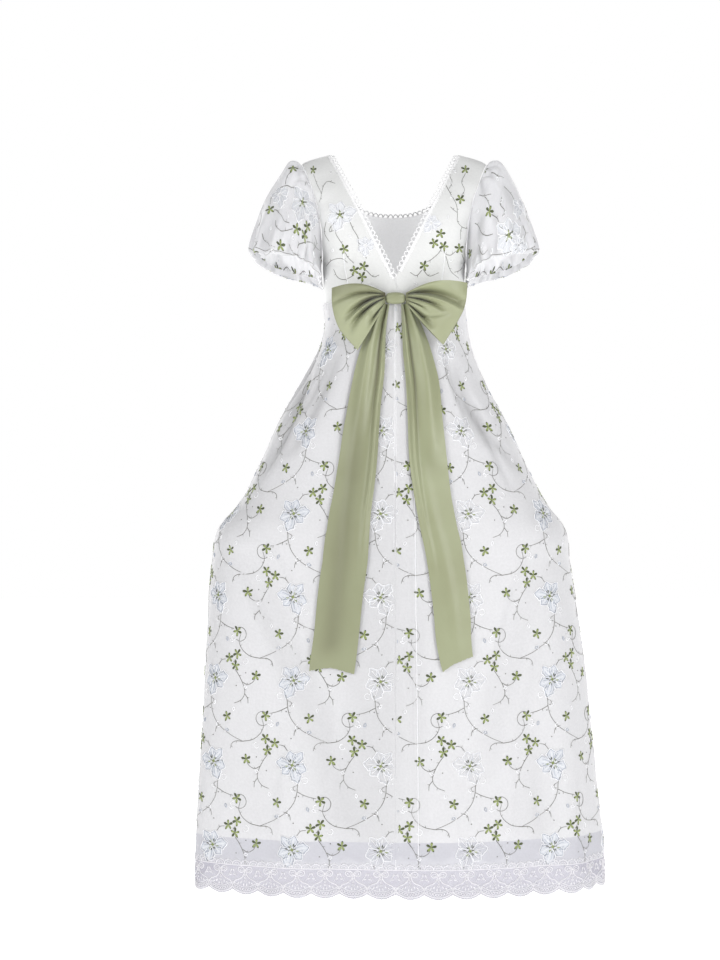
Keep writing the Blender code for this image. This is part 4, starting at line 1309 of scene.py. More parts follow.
def bodice_creases(points, side, face):
    """Soft pulls of the bodice cloth: beside the armhole, and towards the waist."""
    x, z = np.abs(points[..., 0]), points[..., 2]
    lift = 0.0010 * np.sin((x * 150.0 + z * 60.0)) * smooth_step(0.20, 0.27, -z)
    lift += 0.0008 * np.sin(z * 130.0 + x * 55.0 + side) * smooth_step(0.09, 0.14, x)
    seam = 0.086 - 0.10 * (z - WAIST_Z)
    lift += 0.0014 * bell(x, seam, 0.0022) * (face > 0) * (z < -0.20)
    return lift * (smooth_step(0.0, 0.02, x) if face < 0 else 1.0)


def shifted(points, lift, flip):
    """Points moved along the surface's own normals."""
    across = np.gradient(points, axis=1)
    down = np.gradient(points, axis=0)
    normal = unit(np.cross(down, across))
    return points + normal * (-1.0 if flip else 1.0) * lift[..., None]


def make_bodice():
    pieces = {}
    places = np.linspace(0.0, 1.0, 73)[:, None]
    shares = np.linspace(0.0, 1.0, 46)[None, :]
    for name, side in SIDES.items():
        rows = mirrored(bodice_point(places, shares, 1, -side * BACK_CROSSING), side)
        if side < 0:
            rows = rows[:, ::-1]
        rows = shifted(rows, bodice_creases(rows, side, 1), False)
        node = "bodice_back_" + name
        pieces[node] = sheet_of(node + "_organza", rows, [BODICE_CLOTH], ORGANZA_WALL)
    left = bodice_point(places, shares[:, ::-1], -1)
    right = mirrored(bodice_point(places, shares, -1), -1)
    halves = []
    for half, side in ((left, 1), (right, -1)):
        halves.append(shifted(half, bodice_creases(half, side, -1), True))
    points = np.concatenate([halves[0], halves[1]], axis=1)
    count = halves[0].shape[1]
    faces = grid_faces(points.shape[0], points.shape[1], flip=True)
    faces = faces[faces[:, 3] % points.shape[1] != count - 1]
    flat = points.reshape(-1, 3)
    uv = np.stack([lengths_along(points, 1), points[..., 2]], axis=-1).reshape(-1, 2)
    piece = mesh_from("bodice_front_organza", flat, faces, [BODICE_FRONT_SHADED_CLOTH, BODICE_INSIDE], uv=uv)
    reshape(piece, lambda shape: bmesh.ops.remove_doubles(shape, verts=shape.verts[:], dist=FRONT_JOIN))
    thicken(piece, ORGANZA_WALL)
    pieces["bodice_front"] = piece
    return pieces


def ray_placer(tree, face):
    """Lays flat points on the bodice by level rays from behind or before it, u to the right."""

    def place(points):
        x = BACK_BEND * np.sin(np.clip(-points[:, 0] / BACK_BEND, -1.57, 1.57)) * face
        solid = np.zeros((len(points), 3))
        on = np.zeros(len(points), bool)
        way = Vector((0.0, -face, 0.0))
        for k, (across, z, h) in enumerate(zip(x, points[:, 1], points[:, 2])):
            hit, normal, _, _ = tree.ray_cast(Vector((across, 0.5 * face, z)), way, 0.5)
            if hit is None or abs(normal.y) < 0.18:
                continue
            if normal.dot(way) > 0.0:
                normal = -normal
            solid[k] = hit + normal * (0.0002 + h)
            on[k] = True
        return solid, on

    return place


# Sleeves
SLEEVE_CLOTH_WIDE = 0.50
# The row of the sleeve's table where its lower stitched line runs
SLEEVE_LINE_RING = 6.2
# Steps of the map from a flat place to a place on the sleeve: down it in metres, and round it
SLEEVE_MAP_STEP = 0.004
SLEEVE_MAP_TURNS = 121
# Creases of the sleeves seen from behind: upper end, lower end, width and how much
SLEEVE_CREASES = {
    1: (((0.166, -0.030), (0.160, -0.066), 0.0042, 0.9), ((0.155, -0.052), (0.141, -0.118), 0.0040, 0.8),
        ((0.141, -0.110), (0.136, -0.180), 0.0045, 0.8), ((0.153, -0.090), (0.149, -0.150), 0.0050, 0.5),
        ((0.150, -0.170), (0.138, -0.215), 0.0040, 0.7), ((0.180, -0.022), (0.178, -0.050), 0.0035, 0.5),
        ((0.222, -0.052), (0.246, -0.092), 0.0060, 0.35), ((0.166, -0.185), (0.160, -0.225), 0.0040, 0.6),
        ((0.196, -0.172), (0.199, -0.205), 0.0045, 0.5), ((0.240, -0.150), (0.252, -0.190), 0.0060, 0.4)),
    -1: (((0.160, -0.034), (0.166, -0.082), 0.0040, 0.9), ((0.152, -0.056), (0.145, -0.092), 0.0038, 0.8),
         ((0.141, -0.100), (0.138, -0.190), 0.0045, 0.9), ((0.162, -0.125), (0.156, -0.170), 0.0045, 0.8),
         ((0.180, -0.110), (0.192, -0.158), 0.0055, 0.5), ((0.192, -0.158), (0.186, -0.205), 0.0050, 0.6),
         ((0.205, -0.066), (0.226, -0.118), 0.0060, 0.5), ((0.157, -0.185), (0.163, -0.225), 0.0042, 0.8),
         ((0.178, -0.030), (0.184, -0.060), 0.0040, 0.5), ((0.238, -0.140), (0.246, -0.190), 0.0060, 0.4)),
}


def sleeve_creases(point, side):
    """How deep the cloth lies in a crease, 0 to about 1."""
    deep = np.zeros(point.shape[:-1])
    for start, end, width, much in SLEEVE_CREASES[side]:
        way = np.array(end) - start
        here = point[..., [0, 2]] - start
        share = np.clip(here @ way / (way @ way), 0.0, 1.0)
        away = np.linalg.norm(here - share[..., None] * way, axis=-1) / width
        deep += much * np.sin(math.pi * (0.15 + 0.7 * share)) * np.exp(-away * away)
    return deep


def sleeve_form(ring, degrees, side):
    row = read_table(SLEEVE_COLUMNS, SLEEVE_ROWS, np.arange(len(SLEEVE_ROWS)), ring)
    turn = np.radians(degrees)
    sine, cosine = np.sin(turn), np.cos(turn)
    zero = np.zeros_like(row["top_x"])
    top = np.stack([row["top_x"], zero, row["top_z"]], axis=-1)
    under = np.stack([row["under_x"], zero, row["under_z"]], axis=-1)
    centre, half = (top + under) * 0.5, (top - under) * 0.5
    inner, outer = 1.0 - 0.85 * cosine, 1.0 + 1.5 * cosine
    raised = np.where(sine > 0.0, row["raise_back"] * inner, row["raise_front"] * outer) * np.abs(sine)
    reach = np.where(sine > 0.0, row["back"], row["front"]) * sine
    point = centre + half * cosine[..., None]
    point = point + np.stack([-row["lean"] * sine * sine, reach, raised], axis=-1)
    uneven = turn + 0.10 * np.sin(3.0 * turn + side) + 0.05 * np.sin(7.0 * turn)
    cap = smooth_step(0.0, 0.5, ring) * (1.0 - smooth_step(0.8, 3.6, ring))
    cap = cap * np.maximum(cosine + 0.25, 0.0) ** 0.5
    cuff = smooth_step(3.6, 6.0, ring) * (1.0 - 0.3 * smooth_step(7.0, 8.0, ring))
    swell = 0.0024 * cap * np.cos(18.0 * uneven) + 0.0009 * cap * np.cos(31.0 * uneven + 1.0)
    gathers = 0.0032 * np.cos(12.0 * turn) + 0.0024 * np.cos(19.0 * uneven + 2.0)
    swell += cuff * (gathers + 0.0013 * np.cos(33.0 * uneven))
    middle = smooth_step(1.0, 3.0, ring) * (1.0 - smooth_step(5.5, 7.0, ring))
    swell += middle * 0.0016 * np.sin(5.0 * turn + 1.1 * ring + 2.0 * side)
    swell += middle * 0.0012 * np.sin(9.0 * turn - 1.7 * ring + side)
    swell -= 0.0020 * sleeve_creases(point, side)
    return point + unit(point - centre) * swell[..., None]


def make_sleeves():
    pieces = {}
    degrees = np.linspace(0.0, 360.0, 145)[:-1][None, :]
    rings = np.linspace(0.0, len(SLEEVE_ROWS) - 1.0, 61)[:, None]
    for name, side in SIDES.items():
        ring, turn = np.broadcast_arrays(rings, degrees)
        rows = sleeve_form(ring, turn, side)
        # Painted shade: in the sleeve's creases, and more down towards its lower edge
        fold = 0.75 * sleeve_creases(rows, side) + 0.40 * smooth_step(1.5, 5.0, ring)
        rows = mirrored(rows, side)
        if side > 0:
            rows, fold = rows[:, ::-1], fold[:, ::-1]
        uv = np.stack([turn / 360.0 * SLEEVE_CLOTH_WIDE, -ring * 0.03], axis=-1)
        cloths = [SLEEVE_INSIDE, SLEEVE_ORGANZA]
        node = "sleeve_" + name
        pieces[node] = sheet_of(node + "_organza", rows, cloths, ORGANZA_WALL, ring=True, uv=uv, fold=fold)
    return pieces


def sleeve_placer(side, inner=False):
    """Lays flat points on a sleeve, or on its inner side: u round it, v down from the armhole."""
    degree_steps = np.linspace(-180.0, 180.0, SLEEVE_MAP_TURNS)
    ring_steps = np.linspace(0.0, 7.4, 75)
    ring, turn = np.meshgrid(ring_steps, degree_steps)
    form = sleeve_form(ring, turn, side)
    length = lengths_along(form, 1)
    down = np.arange(0.0, 0.36, SLEEVE_MAP_STEP)
    ring_of = np.array([np.interp(down, row, ring_steps) for row in length])
    longest = length[:, -1]

    def place(points):
        degrees = points[:, 0] / SLEEVE_CLOTH_WIDE * 360.0 * side
        fall = -points[:, 1]
        row = (degrees + 180.0) / (360.0 / (SLEEVE_MAP_TURNS - 1))
        ring = sample(ring_of, row, fall / SLEEVE_MAP_STEP)
        limit = np.interp(degrees, degree_steps, longest)
        on = (fall > 0.004) & (fall < limit - 0.002) & (np.abs(degrees) < 179.0)
        here = sleeve_form(ring, degrees, side)
        round_it = sleeve_form(ring, degrees + 0.5, side) - sleeve_form(ring, degrees - 0.5, side)
        along = sleeve_form(ring + 0.02, degrees, side) - sleeve_form(ring - 0.02, degrees, side)
        normal = unit(np.cross(along, round_it)) * (-1.0 if inner else 1.0)
        solid = here + normal * (ORGANZA_WALL * 0.5 + 0.0001 + points[:, 2])[:, None]
        return mirrored(solid, side), on

    return place


def sleeve_flat(side, face=1):
    """Finds the flat place of a point of the sleeve's back, or front, given by x and height."""
    ring, turn = np.meshgrid(np.linspace(0.0, 7.0, 141), face * np.linspace(2.0, 178.0, 177))
    form = mirrored(sleeve_form(ring, turn, side), side)
    down = lengths_along(form, 1)

    def find(x, z):
        away = (form[..., 0] - x) ** 2 + (form[..., 2] - z) ** 2
        row, column = np.unravel_index(np.argmin(away), away.shape)
        return turn[row, column] / 360.0 * SLEEVE_CLOTH_WIDE * side, -down[row, column]

    return find


def sleeve_hem_line(side):
    """Flat stitched line round the lower edge."""
    turn = np.linspace(-176.0, 176.0, 177)
    form = sleeve_form(np.linspace(0.0, SLEEVE_LINE_RING, 72)[None, :], turn[:, None], side)
    down = np.linalg.norm(np.diff(form, axis=1), axis=-1).sum(axis=1)
    stitches = Stitches()
    path = 1000.0 * np.stack([turn / 360.0 * SLEEVE_CLOTH_WIDE * side, -down], axis=-1)
    stitches.line(path, 1.1, VINE, 0.0004)
    return stitches.arrays()


# Braid on the neck
def edge_line(face, crossing, start, end, column):
    """Places, lengths and frames along a neck edge, from the shoulder down."""
    shares = [row[column] for row in BODICE_ROWS]
    low, high = np.interp((start, end), shares, np.linspace(0.0, 1.0, len(shares)))
    place = np.linspace(low, high, 241)
    edge = bodice_point(place, 0.0, face, crossing)
    length = lengths_along(edge, 0)
    along = unit(np.gradient(edge, axis=0))
    inside = unit(bodice_point(np.minimum(place + 0.02, 1.0), 0.06, face, crossing) - edge)
    normal = unit(np.cross(along, inside))
    sign = np.where(normal[:, 1] * face + 0.5 * normal[:, 2] < 0.0, -1.0, 1.0)
    normal = normal * sign[:, None]
    inward = unit(inside - along * (inside * along).sum(axis=1, keepdims=True))
    return length, edge, inward, normal


def braid_motif(pitch):
    """One loop of the braid: picots beyond the edge (v below 0), a chain on it (v above 0), in mm."""
    stitches = Stitches()
    half = 0.5 * pitch * 1000.0
    outer = [(-half * 0.70, 1.6), (-half * 0.92, -1.6), (-half * 0.50, -5.0), (0.0, -6.0)]
    outer += [(half * 0.50, -5.0), (half * 0.92, -1.6), (half * 0.70, 1.6)]
    stitches.curve(outer, 3, 2.1, 0, 0.0014)
    for v, width, height in ((2.4, 4.4, 0.0009), (1.0, 1.5, 0.0013)):
        stitches.line([(-half, v), (0.0, v), (half, v)], width, 0, height)
    top = [(-half, 4.6), (-half * 0.5, 6.2), (0.0, 4.6), (half * 0.5, 6.2), (half, 4.6)]
    stitches.curve(top, 3, 1.0, 0, 0.0007)
    return stitches.arrays()


def make_braid():
    pieces = {}
    # Name, side, back or front, crossing at the waist, first and last place, and column of the edge
    jobs = (
        ("braid_back_left", 1, 1, -BACK_CROSSING, 0.012, 0.995, 2),
        ("braid_back_right", -1, 1, BACK_CROSSING, 0.012, 0.940, 2),
        ("braid_front", 1, -1, 0.0, 0.012, 1.0, 3),
    )
    for name, side, face, crossing, start, end, column in jobs:
        length, edge, inward, normal = edge_line(face, crossing, start, end, column)
        count = round(length[-1] / BRAID_PITCH)
        pitch = length[-1] / count
        motif = braid_motif(pitch)
        flat = stamp(motif, [((k + 0.5) * pitch, 0.0, 1, 0.0, 1.0) for k in range(count)])

        def place(points, side=side):
            def at(values):
                return np.stack([np.interp(points[:, 0], length, values[:, k]) for k in range(3)], axis=-1)
            lift = 0.0006 + points[:, 2]
            solid = at(edge) + at(inward) * points[:, 1:2] + at(normal) * lift[:, None]
            return mirrored(solid, side), np.ones(len(points), bool)

        piece = laid(name + "_cords", flat, place, [BRAID_CORD])
        if face < 0:
            other = laid("braid_front_half", flat, lambda points: place(points, -1), [BRAID_CORD])
            bpy.ops.object.select_all(action="DESELECT")
            other.select_set(True)
            piece.select_set(True)
            bpy.context.view_layer.objects.active = piece
            bpy.ops.object.join()
        reshape(piece, lambda shape: bmesh.ops.recalc_face_normals(shape, faces=shape.faces[:]))
        pieces[name] = piece
    return pieces


# Bow
LOOP_CREASE_COLUMNS = ("side", "root", "tip", "start", "reach", "width", "depth")
LOOP_CREASES = (
    (1, 0.16, 0.24, 0.0, 1.40, 0.030, 0.0065),
    (1, 0.06, 0.05, 0.0, 0.95, 0.060, -0.0035),
    (1, 0.27, 0.63, 0.0, 1.00, 0.048, 0.0210),
    (1, 0.37, 0.72, 0.0, 0.80, 0.022, -0.0050),
    (1, 0.47, 0.80, 0.0, 1.05, 0.044, 0.0190),
    (1, 0.68, 0.86, 0.3, 1.20, 0.070, -0.0025),
    (1, 0.86, 0.95, 0.0, 0.60, 0.036, 0.0120),
    (-1, 0.14, 0.37, 0.0, 1.60, 0.062, 0.0150),
    (-1, 0.27, 0.52, 0.0, 1.20, 0.034, -0.0055),
    (-1, 0.38, 0.72, 0.0, 0.85, 0.050, 0.0150),
    (-1, 0.66, 0.82, 0.0, 0.50, 0.026, 0.0080),
    (-1, 0.86, 0.96, 0.0, 0.80, 0.040, 0.0140),
    (-1, 1.12, 0.55, 0.28, 0.95, 0.020, 0.0042),
    (-1, 0.05, 0.04, 0.0, 0.90, 0.050, -0.0030),
)


# Shade on the upper part of each loop, which leans forward
LOOP_SHADE = {1: 0.50, -1: 0.06}


def loop_folds(side, down, out):
    """How deep the front of a loop is folded in, in metres."""
    depth = np.zeros(np.broadcast(down, out).shape)
    for crease in named_rows(LOOP_CREASE_COLUMNS, LOOP_CREASES, side):
        middle = crease["root"] + (crease["tip"] - crease["root"]) * out
        fade = smooth_step(crease["start"], crease["start"] + 0.12, out)
        fade = fade * (1.0 - smooth_step(0.35 * crease["reach"], crease["reach"], out))
        depth += crease["depth"] * fade * bell(down, middle, crease["width"] * (0.7 + 0.9 * out))
    return depth


def loop_form(side, down, t):
    """Point of a bow loop: down from its upper to its lower edge; t from the front root (-1) round
    the outer fold (0) to the back root (1)."""
    down, t = np.broadcast_arrays(np.asarray(down, float), np.asarray(t, float))
    out = 1.0 - np.abs(t)
    folds = np.array(LOOP_FOLDS[side])
    steps = np.linspace(0.0, 1.0, len(folds))
    fold_x = soft_interp(down, steps, folds[:, 0])
    fold_z = soft_interp(down, steps, folds[:, 1])
    root_x = KNOT_CENTRE[0] + side * (0.5 * KNOT_SIZE[0] + SEAM_GAP)
    root_z = KNOT_CENTRE[2] + LOOP_ROOT_HALF_HEIGHT * (1.0 - 2.0 * down)
    arch = np.sin(math.pi * out)
    x = root_x + (fold_x - root_x) * out
    z = root_z + (fold_z - root_z) * out ** 0.9 + LOOP_ARCH * arch * (1.0 - down) ** 2
    belly = np.maximum(arch, 0.0) ** 0.8
    pleat = np.cos(2.0 * math.pi * LOOP_PLEATS * down) * belly * (1.0 - 0.8 * out)
    front = LOOP_FRONT_Y + 0.004 * out + LOOP_BELLY * belly + 0.3 * LOOP_PLEAT_DEPTH * pleat
    front = front - loop_folds(side, down, out)
    front += 0.0010 * np.sin(11.0 * down + 7.0 * out + side) * belly
    back = LOOP_BACK_Y + 0.006 * out - 0.001 * belly
    turn = smooth_step(-0.06, 0.06, t)
    y = front * (1.0 - turn) + back * turn
    return np.stack([x, y, z], axis=-1)


def make_loops():
    pieces = {}
    t = np.concatenate([np.linspace(-1.0, -0.08, 48), np.linspace(-0.06, 0.06, 7), np.linspace(0.1, 1.0, 12)])
    downs = np.linspace(0.0, 1.0, 73)[:, None]
    for name, side in SIDES.items():
        rows = loop_form(side, downs, t[None, :])
        out = 1.0 - np.abs(t[None, :])
        # Painted shade of the loop: in its creases, on its upper part, beside the knot and all over its back
        fold = loop_folds(side, downs, out) / 0.021 * (1.0 - 0.60 * smooth_step(0.1, 0.8, out))
        fold = fold + LOOP_SHADE[side] * (1.0 - smooth_step(0.1, 0.7, downs + 0.3 * out))
        fold = np.where(t[None, :] < 0.0, fold + 0.5 * (1.0 - smooth_step(0.0, 0.14, out)), 0.3)
        if side > 0:
            rows, fold = rows[:, ::-1], fold[:, ::-1]
        piece = sheet_of("bow_loop_" + name + "_satin", rows, [SATIN], SATIN_WALL, fold=fold)
        pieces["bow_loop_" + name] = piece
    return pieces


# Folds of the tails: share across at the top and at the end, from and to height, width, depth
TAIL_FOLD_COLUMNS = ("side", "top", "low", "top_z", "low_z", "width", "depth")
TAIL_FOLDS = (
    (1, 0.08, 0.14, -0.292, -0.800, 0.080, 0.0105),
    (1, 0.62, 0.58, -0.292, -0.600, 0.210, 0.0120),
    (1, 0.47, 0.44, -0.292, -0.560, 0.060, 0.0012),
    (1, 0.70, 0.34, -0.480, -0.950, 0.150, 0.0022),
    (-1, 0.12, 0.18, -0.292, -0.800, 0.075, 0.0105),
    (-1, 0.62, 0.66, -0.292, -0.600, 0.220, 0.0120),
    (-1, 0.30, 0.62, -0.540, -0.950, 0.150, 0.0022),
)


# Painted shade along the valley of each tail: share across at the top and the end, width, and how far down it
# goes
TAIL_VALLEYS = {1: ((0.26, 0.16), 0.065, 0.42), -1: ((0.27, 0.24), 0.045, 0.50)}
# The cut end of each tail: how far each place across rises, and how far its inner and outer edge move in
TAIL_END_SHARES = (0.0, 0.33, 0.50, 0.75, 1.0)
TAIL_END_RISE = {1: (-0.0012, 0.0058, 0.0093, 0.0073, 0.0034), -1: (-0.0075, 0.0050, 0.0095, 0.0150, 0.0203)}
TAIL_END_NARROW = {1: (-0.0022, 0.0), -1: (-0.0046, 0.0075)}
# How far the inner edge moves below the knot, and the outer edge over some height about the middle
TAIL_EDGE_MOVES = {
    1: {"inner": 0.0052, "outer": 0.0062, "outer_z": -0.595, "outer_high": 0.075},
    -1: {"inner": 0.0, "outer": 0.0035, "outer_z": -0.640, "outer_high": 0.090},
}
# Small waves of the cut end, and the share of the length where they start
TAIL_FRAY = 0.0007
TAIL_FRAY_START = 0.992
# A fold that starts above this height comes from under the knot
TAIL_KNOT_Z = -0.31
# Shade of the tails in the valley and under the knot, and place and width of their middle band
TAIL_SHADE = {"valley": 0.80, "knot": 0.26, "band_at": 0.58, "band_width": 0.24}
# Shade all over each tail, and in its middle band
TAIL_SIDE_SHADE = {1: (0.19, 0.25), -1: (0.05, 0.11)}


def tail_form(side, down, share):
    """Point of a tail: down 0 at the knot, 1 at the end; share 0 at the inner edge."""
    down, share = np.broadcast_arrays(np.asarray(down, float), np.asarray(share, float))
    numbers = np.array(TAIL_ROWS[side])
    z = numbers[0, 0] + (numbers[-1, 0] - numbers[0, 0]) * down
    inner = soft_interp(-z, -numbers[:, 0], numbers[:, 1])
    outer = soft_interp(-z, -numbers[:, 0], numbers[:, 2])
    x = inner + (outer - inner) * share
    near_end = smooth_step(0.86, 1.0, down)
    x = x + side * near_end * (TAIL_END_NARROW[side][0] * (1.0 - share) - TAIL_END_NARROW[side][1] * share)
    move = TAIL_EDGE_MOVES[side]
    x = x + move["inner"] * smooth_step(0.15, 0.30, down) * (1.0 - share)
    x = x + move["outer"] * bell(z, move["outer_z"], move["outer_high"]) * share
    z = z + soft_interp(share, TAIL_END_SHARES, TAIL_END_RISE[side]) * near_end
    frayed = smooth_step(TAIL_FRAY_START, 1.0, down)
    z = z + TAIL_FRAY * np.sin(150.0 * share + 2.0 * np.sin(31.0 * share)) * frayed
    steps = [-row[0] for row in SKIRT_ROWS]
    reach = np.interp(-z, steps, [row[1 if side > 0 else 2] for row in SKIRT_ROWS])
    squareness = np.interp(-z, steps, [row[5] for row in SKIRT_ROWS])
    ratio = np.sign(x) * (np.abs(x) / reach) ** (squareness * 0.5)
    angle = np.arcsin(np.clip(ratio, -1.0, 1.0))
    lift = TAIL_CLEARANCE + 0.0016 * (1.0 - smooth_step(0.29, 0.36, -z)) + 0.0014
    for fold in named_rows(TAIL_FOLD_COLUMNS, TAIL_FOLDS, side):
        along = (z - fold["top_z"]) / (fold["low_z"] - fold["top_z"])
        inside = (along > -0.02) & (along < 1.0)
        middle = fold["top"] + (fold["low"] - fold["top"]) * along
        turn = math.pi * np.clip(along, 0.0, 1.0)
        swell = np.cos(0.5 * turn) if fold["top_z"] > TAIL_KNOT_Z else np.sin(turn)
        lift = lift + np.where(inside, fold["depth"] * swell * bell(share, middle, fold["width"]), 0.0)
    return skirt_point(angle, z, 0.0, fine=False) + outward(angle, z) * lift[..., None]


def make_tails():
    pieces = {}
    downs = np.linspace(0.0, 1.0, 130)[:, None]
    shares = np.linspace(0.0, 1.0, 37)[None, :]
    for name, side in SIDES.items():
        rows = tail_form(side, downs, shares)
        # Painted shade of the tail: along its valley, under the knot, all over it and in a band down its
        # middle
        valley, width, reach = TAIL_VALLEYS[side]
        across = (shares - valley[0] - (valley[1] - valley[0]) * downs) / (width * (1.0 + 0.6 * downs))
        fold = TAIL_SHADE["valley"] * np.exp(-across * across) * (1.0 - smooth_step(0.1, reach, downs))
        under_knot = (1.0 - smooth_step(0.0, 0.10, downs)) * smooth_step(0.45, 0.85, shares)
        fold = fold + TAIL_SHADE["knot"] * under_knot
        band = bell(shares, TAIL_SHADE["band_at"], TAIL_SHADE["band_width"])
        all_over, banded = TAIL_SIDE_SHADE[side]
        if side > 0:
            band = band * (1.0 - smooth_step(0.92, 0.985, downs))
            fold = fold + (all_over + banded * band) * smooth_step(0.15, 0.45, downs)
        else:
            band = band * smooth_step(0.30, 0.42, downs) * (1.0 - smooth_step(0.44, 0.50, downs))
            fold = fold + all_over + banded * band
            rows, fold = rows[:, ::-1], fold[:, ::-1]
        piece = sheet_of("bow_tail_" + name + "_satin", rows, [SATIN], SATIN_WALL, fold=fold)
        pieces["bow_tail_" + name] = piece
    return pieces


# The knot's rounded edges, creases and fullness behind, and its shade all over and at its ends
KNOT_ROUND = 0.0064
KNOT_CREASE = 0.0007
KNOT_SWELL = 0.0022
KNOT_SHADE = 0.16
KNOT_END_SHADE = 0.40


def make_knot():
    """The knot is a soft band of satin with creases round it, in painted shade, darker at its two ends."""
    bpy.ops.object.select_all(action="DESELECT")
    bpy.ops.mesh.primitive_cube_add(size=1.0, location=KNOT_CENTRE)
    knot = bpy.context.object
    knot.name = "bow_knot_satin"
    knot.data.name = "bow_knot_satin"
    bpy.ops.object.mode_set(mode="EDIT")
    bpy.ops.transform.resize(value=KNOT_SIZE)
    bpy.ops.mesh.bevel(offset=KNOT_ROUND, segments=5, affect="EDGES")
    bpy.ops.mesh.select_all(action="SELECT")
    bpy.ops.mesh.subdivide(number_cuts=3, smoothness=0.2)
    bpy.ops.object.mode_set(mode="OBJECT")
    bpy.ops.object.transform_apply(location=True, rotation=True, scale=True)
    for vertex in knot.data.vertices:
        offset = vertex.co - Vector(KNOT_CENTRE)
        crease = KNOT_CREASE * math.sin(offset.z * 900.0 + 6.0 * math.sin(offset.x * 60.0))
        middle = 1.0 - (2.0 * offset.x / KNOT_SIZE[0]) ** 2
        round_z = 1.0 - (2.0 * offset.z / KNOT_SIZE[2]) ** 2
        vertex.co.z = KNOT_CENTRE[2] + offset.z * (0.80 + 0.28 * middle) + 0.0006 * middle
        swell = KNOT_SWELL * max(offset.y, 0.0) / KNOT_SIZE[1]
        vertex.co.y += swell * max(middle, 0.0) * max(round_z, 0.0)
        if offset.y > 0.0:
            vertex.co.y += crease
    knot.data.materials.append(SATIN)
    # Painted shade of the knot, kept as its fold attribute
    fold = knot.data.attributes.new("fold", "FLOAT", "POINT")
    for vertex in knot.data.vertices:
        aside = abs(vertex.co.x - KNOT_CENTRE[0]) / (0.5 * KNOT_SIZE[0])
        fold.data[vertex.index].value = KNOT_SHADE + KNOT_END_SHADE * smooth_step(0.80, 1.0, aside)
    layer = knot.data.uv_layers.active or knot.data.uv_layers.new(name="cloth")
    layer.name = "cloth"
    for loop in knot.data.loops:
        co = knot.data.vertices[loop.vertex_index].co
        layer.data[loop.index].uv = (co.x, co.z + co.y)
    knot.data.shade_smooth()
    return knot


# Put together
def dress(piece, nodes, slot, **sheet):
    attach(piece, "root")
    if nodes:
        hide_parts(*nodes)


motif = embroidery_repeat(True)
skirt = make_skirt_panels()
for node, piece in skirt.items():
    flat = (1.00 if node == "skirt_front" else 0.50, 1.06)
    dress(piece, [node], "organza", flat=flat, held="gathered", rests_on=["bodice_front_organza"])
for node, piece in make_skirt_embroidery(motif, embroidery_repeat(False)).items():
    dress(piece, [], "organza")
for node, piece in make_lining().items():
    dress(piece, [node], "lining", flat=(0.96, 1.02), held="gathered", rests_on=["bodice_front_organza"])
for node, net, cords in make_lace():
    flat = (LACE_ROUND * 0.5, 0.052)
    dress(net, [node], "lace", flat=flat, held="hung", rests_on=["skirt_front_organza"])
    dress(cords, [], "lace")

bodice = make_bodice()
for node, piece in bodice.items():
    wide, area = (0.40, 0.115) if node == "bodice_front" else (0.19, 0.033)
    dress(piece, [node], "organza", flat=(wide, 0.30), held="stretched", area=area)


def back_flat(x, z):
    """Flat place of a point of the back, given by x and height."""
    return -BACK_BEND * math.asin(max(-0.99, min(0.99, x / BACK_BEND))), z


BACK_PLANS = {
    "bodice_back_left": {
        "large": ((102, -123, 20),), "pale": ((54, -182, 30),),
        "green": ((153, -32, 15), (94, -187, 40), (58, -220, 0), (75, -227, 30), (61, -239, 60),
                  (150, -160, 20)),
        "vines": (
            ((137, -82), (133, -66), (125, -57), (111, -61)),
            ((106, -140), (110, -156), (103, -170), (96, -180)), ((92, -194), (87, -203), (76, -214)),
            ((76, -236), (92, -243), (106, -238), (114, -222)), ((53, -228), (40, -240), (29, -237)),
            ((128, -214), (118, -206), (100, -204), (88, -212)),
            ((152, -42), (146, -60), (137, -82), (141, -98)), ((128, -135), (131, -155), (122, -172)),
            ((86, -130), (78, -150), (68, -168), (66, -190), (52, -206)),
            ((111, -138), (120, -146), (121, -154), (113, -152)), ((141, -110), (147, -126), (140, -140)),
            ((100, -262), (86, -268), (70, -262), (60, -248)),
            ((150, -168), (153, -180), (147, -192), (143, -200)),
            ((137, -214), (141, -228), (134, -240), (136, -250)),
            ((146, -164), (138, -172), (136, -186), (144, -198)),
        ),
        "seams": (((96, -190), (92, -225), (87, -255), (84, -281)),),
        "drops": ((120, -40), (126, -125), (80, -165), (118, -186), (48, -255), (132, -236),
                  (98, -258), (112, -30), (110, -268)),
    },
    "bodice_back_right": {
        "pale": ((-68, -140, 0),),
        "green": ((-134, -31, 10), (-123, -92, 50), (-121, -184, 25), (-54, -219, 70),
                  (-85, -159, 5), (-73, -177, 40), (-91, -182, 65),
                  (-150, -172, 35)),
        "vines": (
            ((-96, -65), (-105, -83), (-115, -103), (-117, -122), (-117, -135), (-126, -145),
             (-139, -146), (-150, -138)),
            ((-126, -145), (-123, -152), (-123, -168)), ((-104, -108), (-109, -113), (-116, -118)),
            ((-91, -190), (-94, -196), (-104, -198), (-114, -190)),
            ((-52, -226), (-64, -238), (-82, -231)), ((-95, -200), (-105, -226), (-121, -238)),
            ((-88, -178), (-84, -192), (-70, -206), (-60, -212)),
            ((-134, -40), (-126, -58), (-131, -74), (-125, -85)),
            ((-112, -30), (-104, -44), (-108, -58), (-102, -72)),
            ((-142, -145), (-146, -158), (-138, -170)),
            ((-126, -194), (-132, -208), (-124, -222), (-112, -228)),
            ((-50, -228), (-40, -238), (-28, -232)),
            ((-149, -180), (-142, -194), (-145, -208), (-139, -224)),
            ((-135, -240), (-128, -250), (-133, -266)), ((-145, -168), (-138, -176), (-132, -174)),
        ),
        "seams": (((-94, -188), (-91, -222), (-87, -252), (-84, -281)),),
        "drops": ((-108, -60), (-104, -90), (-100, -125), (-108, -206), (-130, -216), (-36, -250),
                  (-98, -250), (-112, -35), (-125, -262)),
    },
}
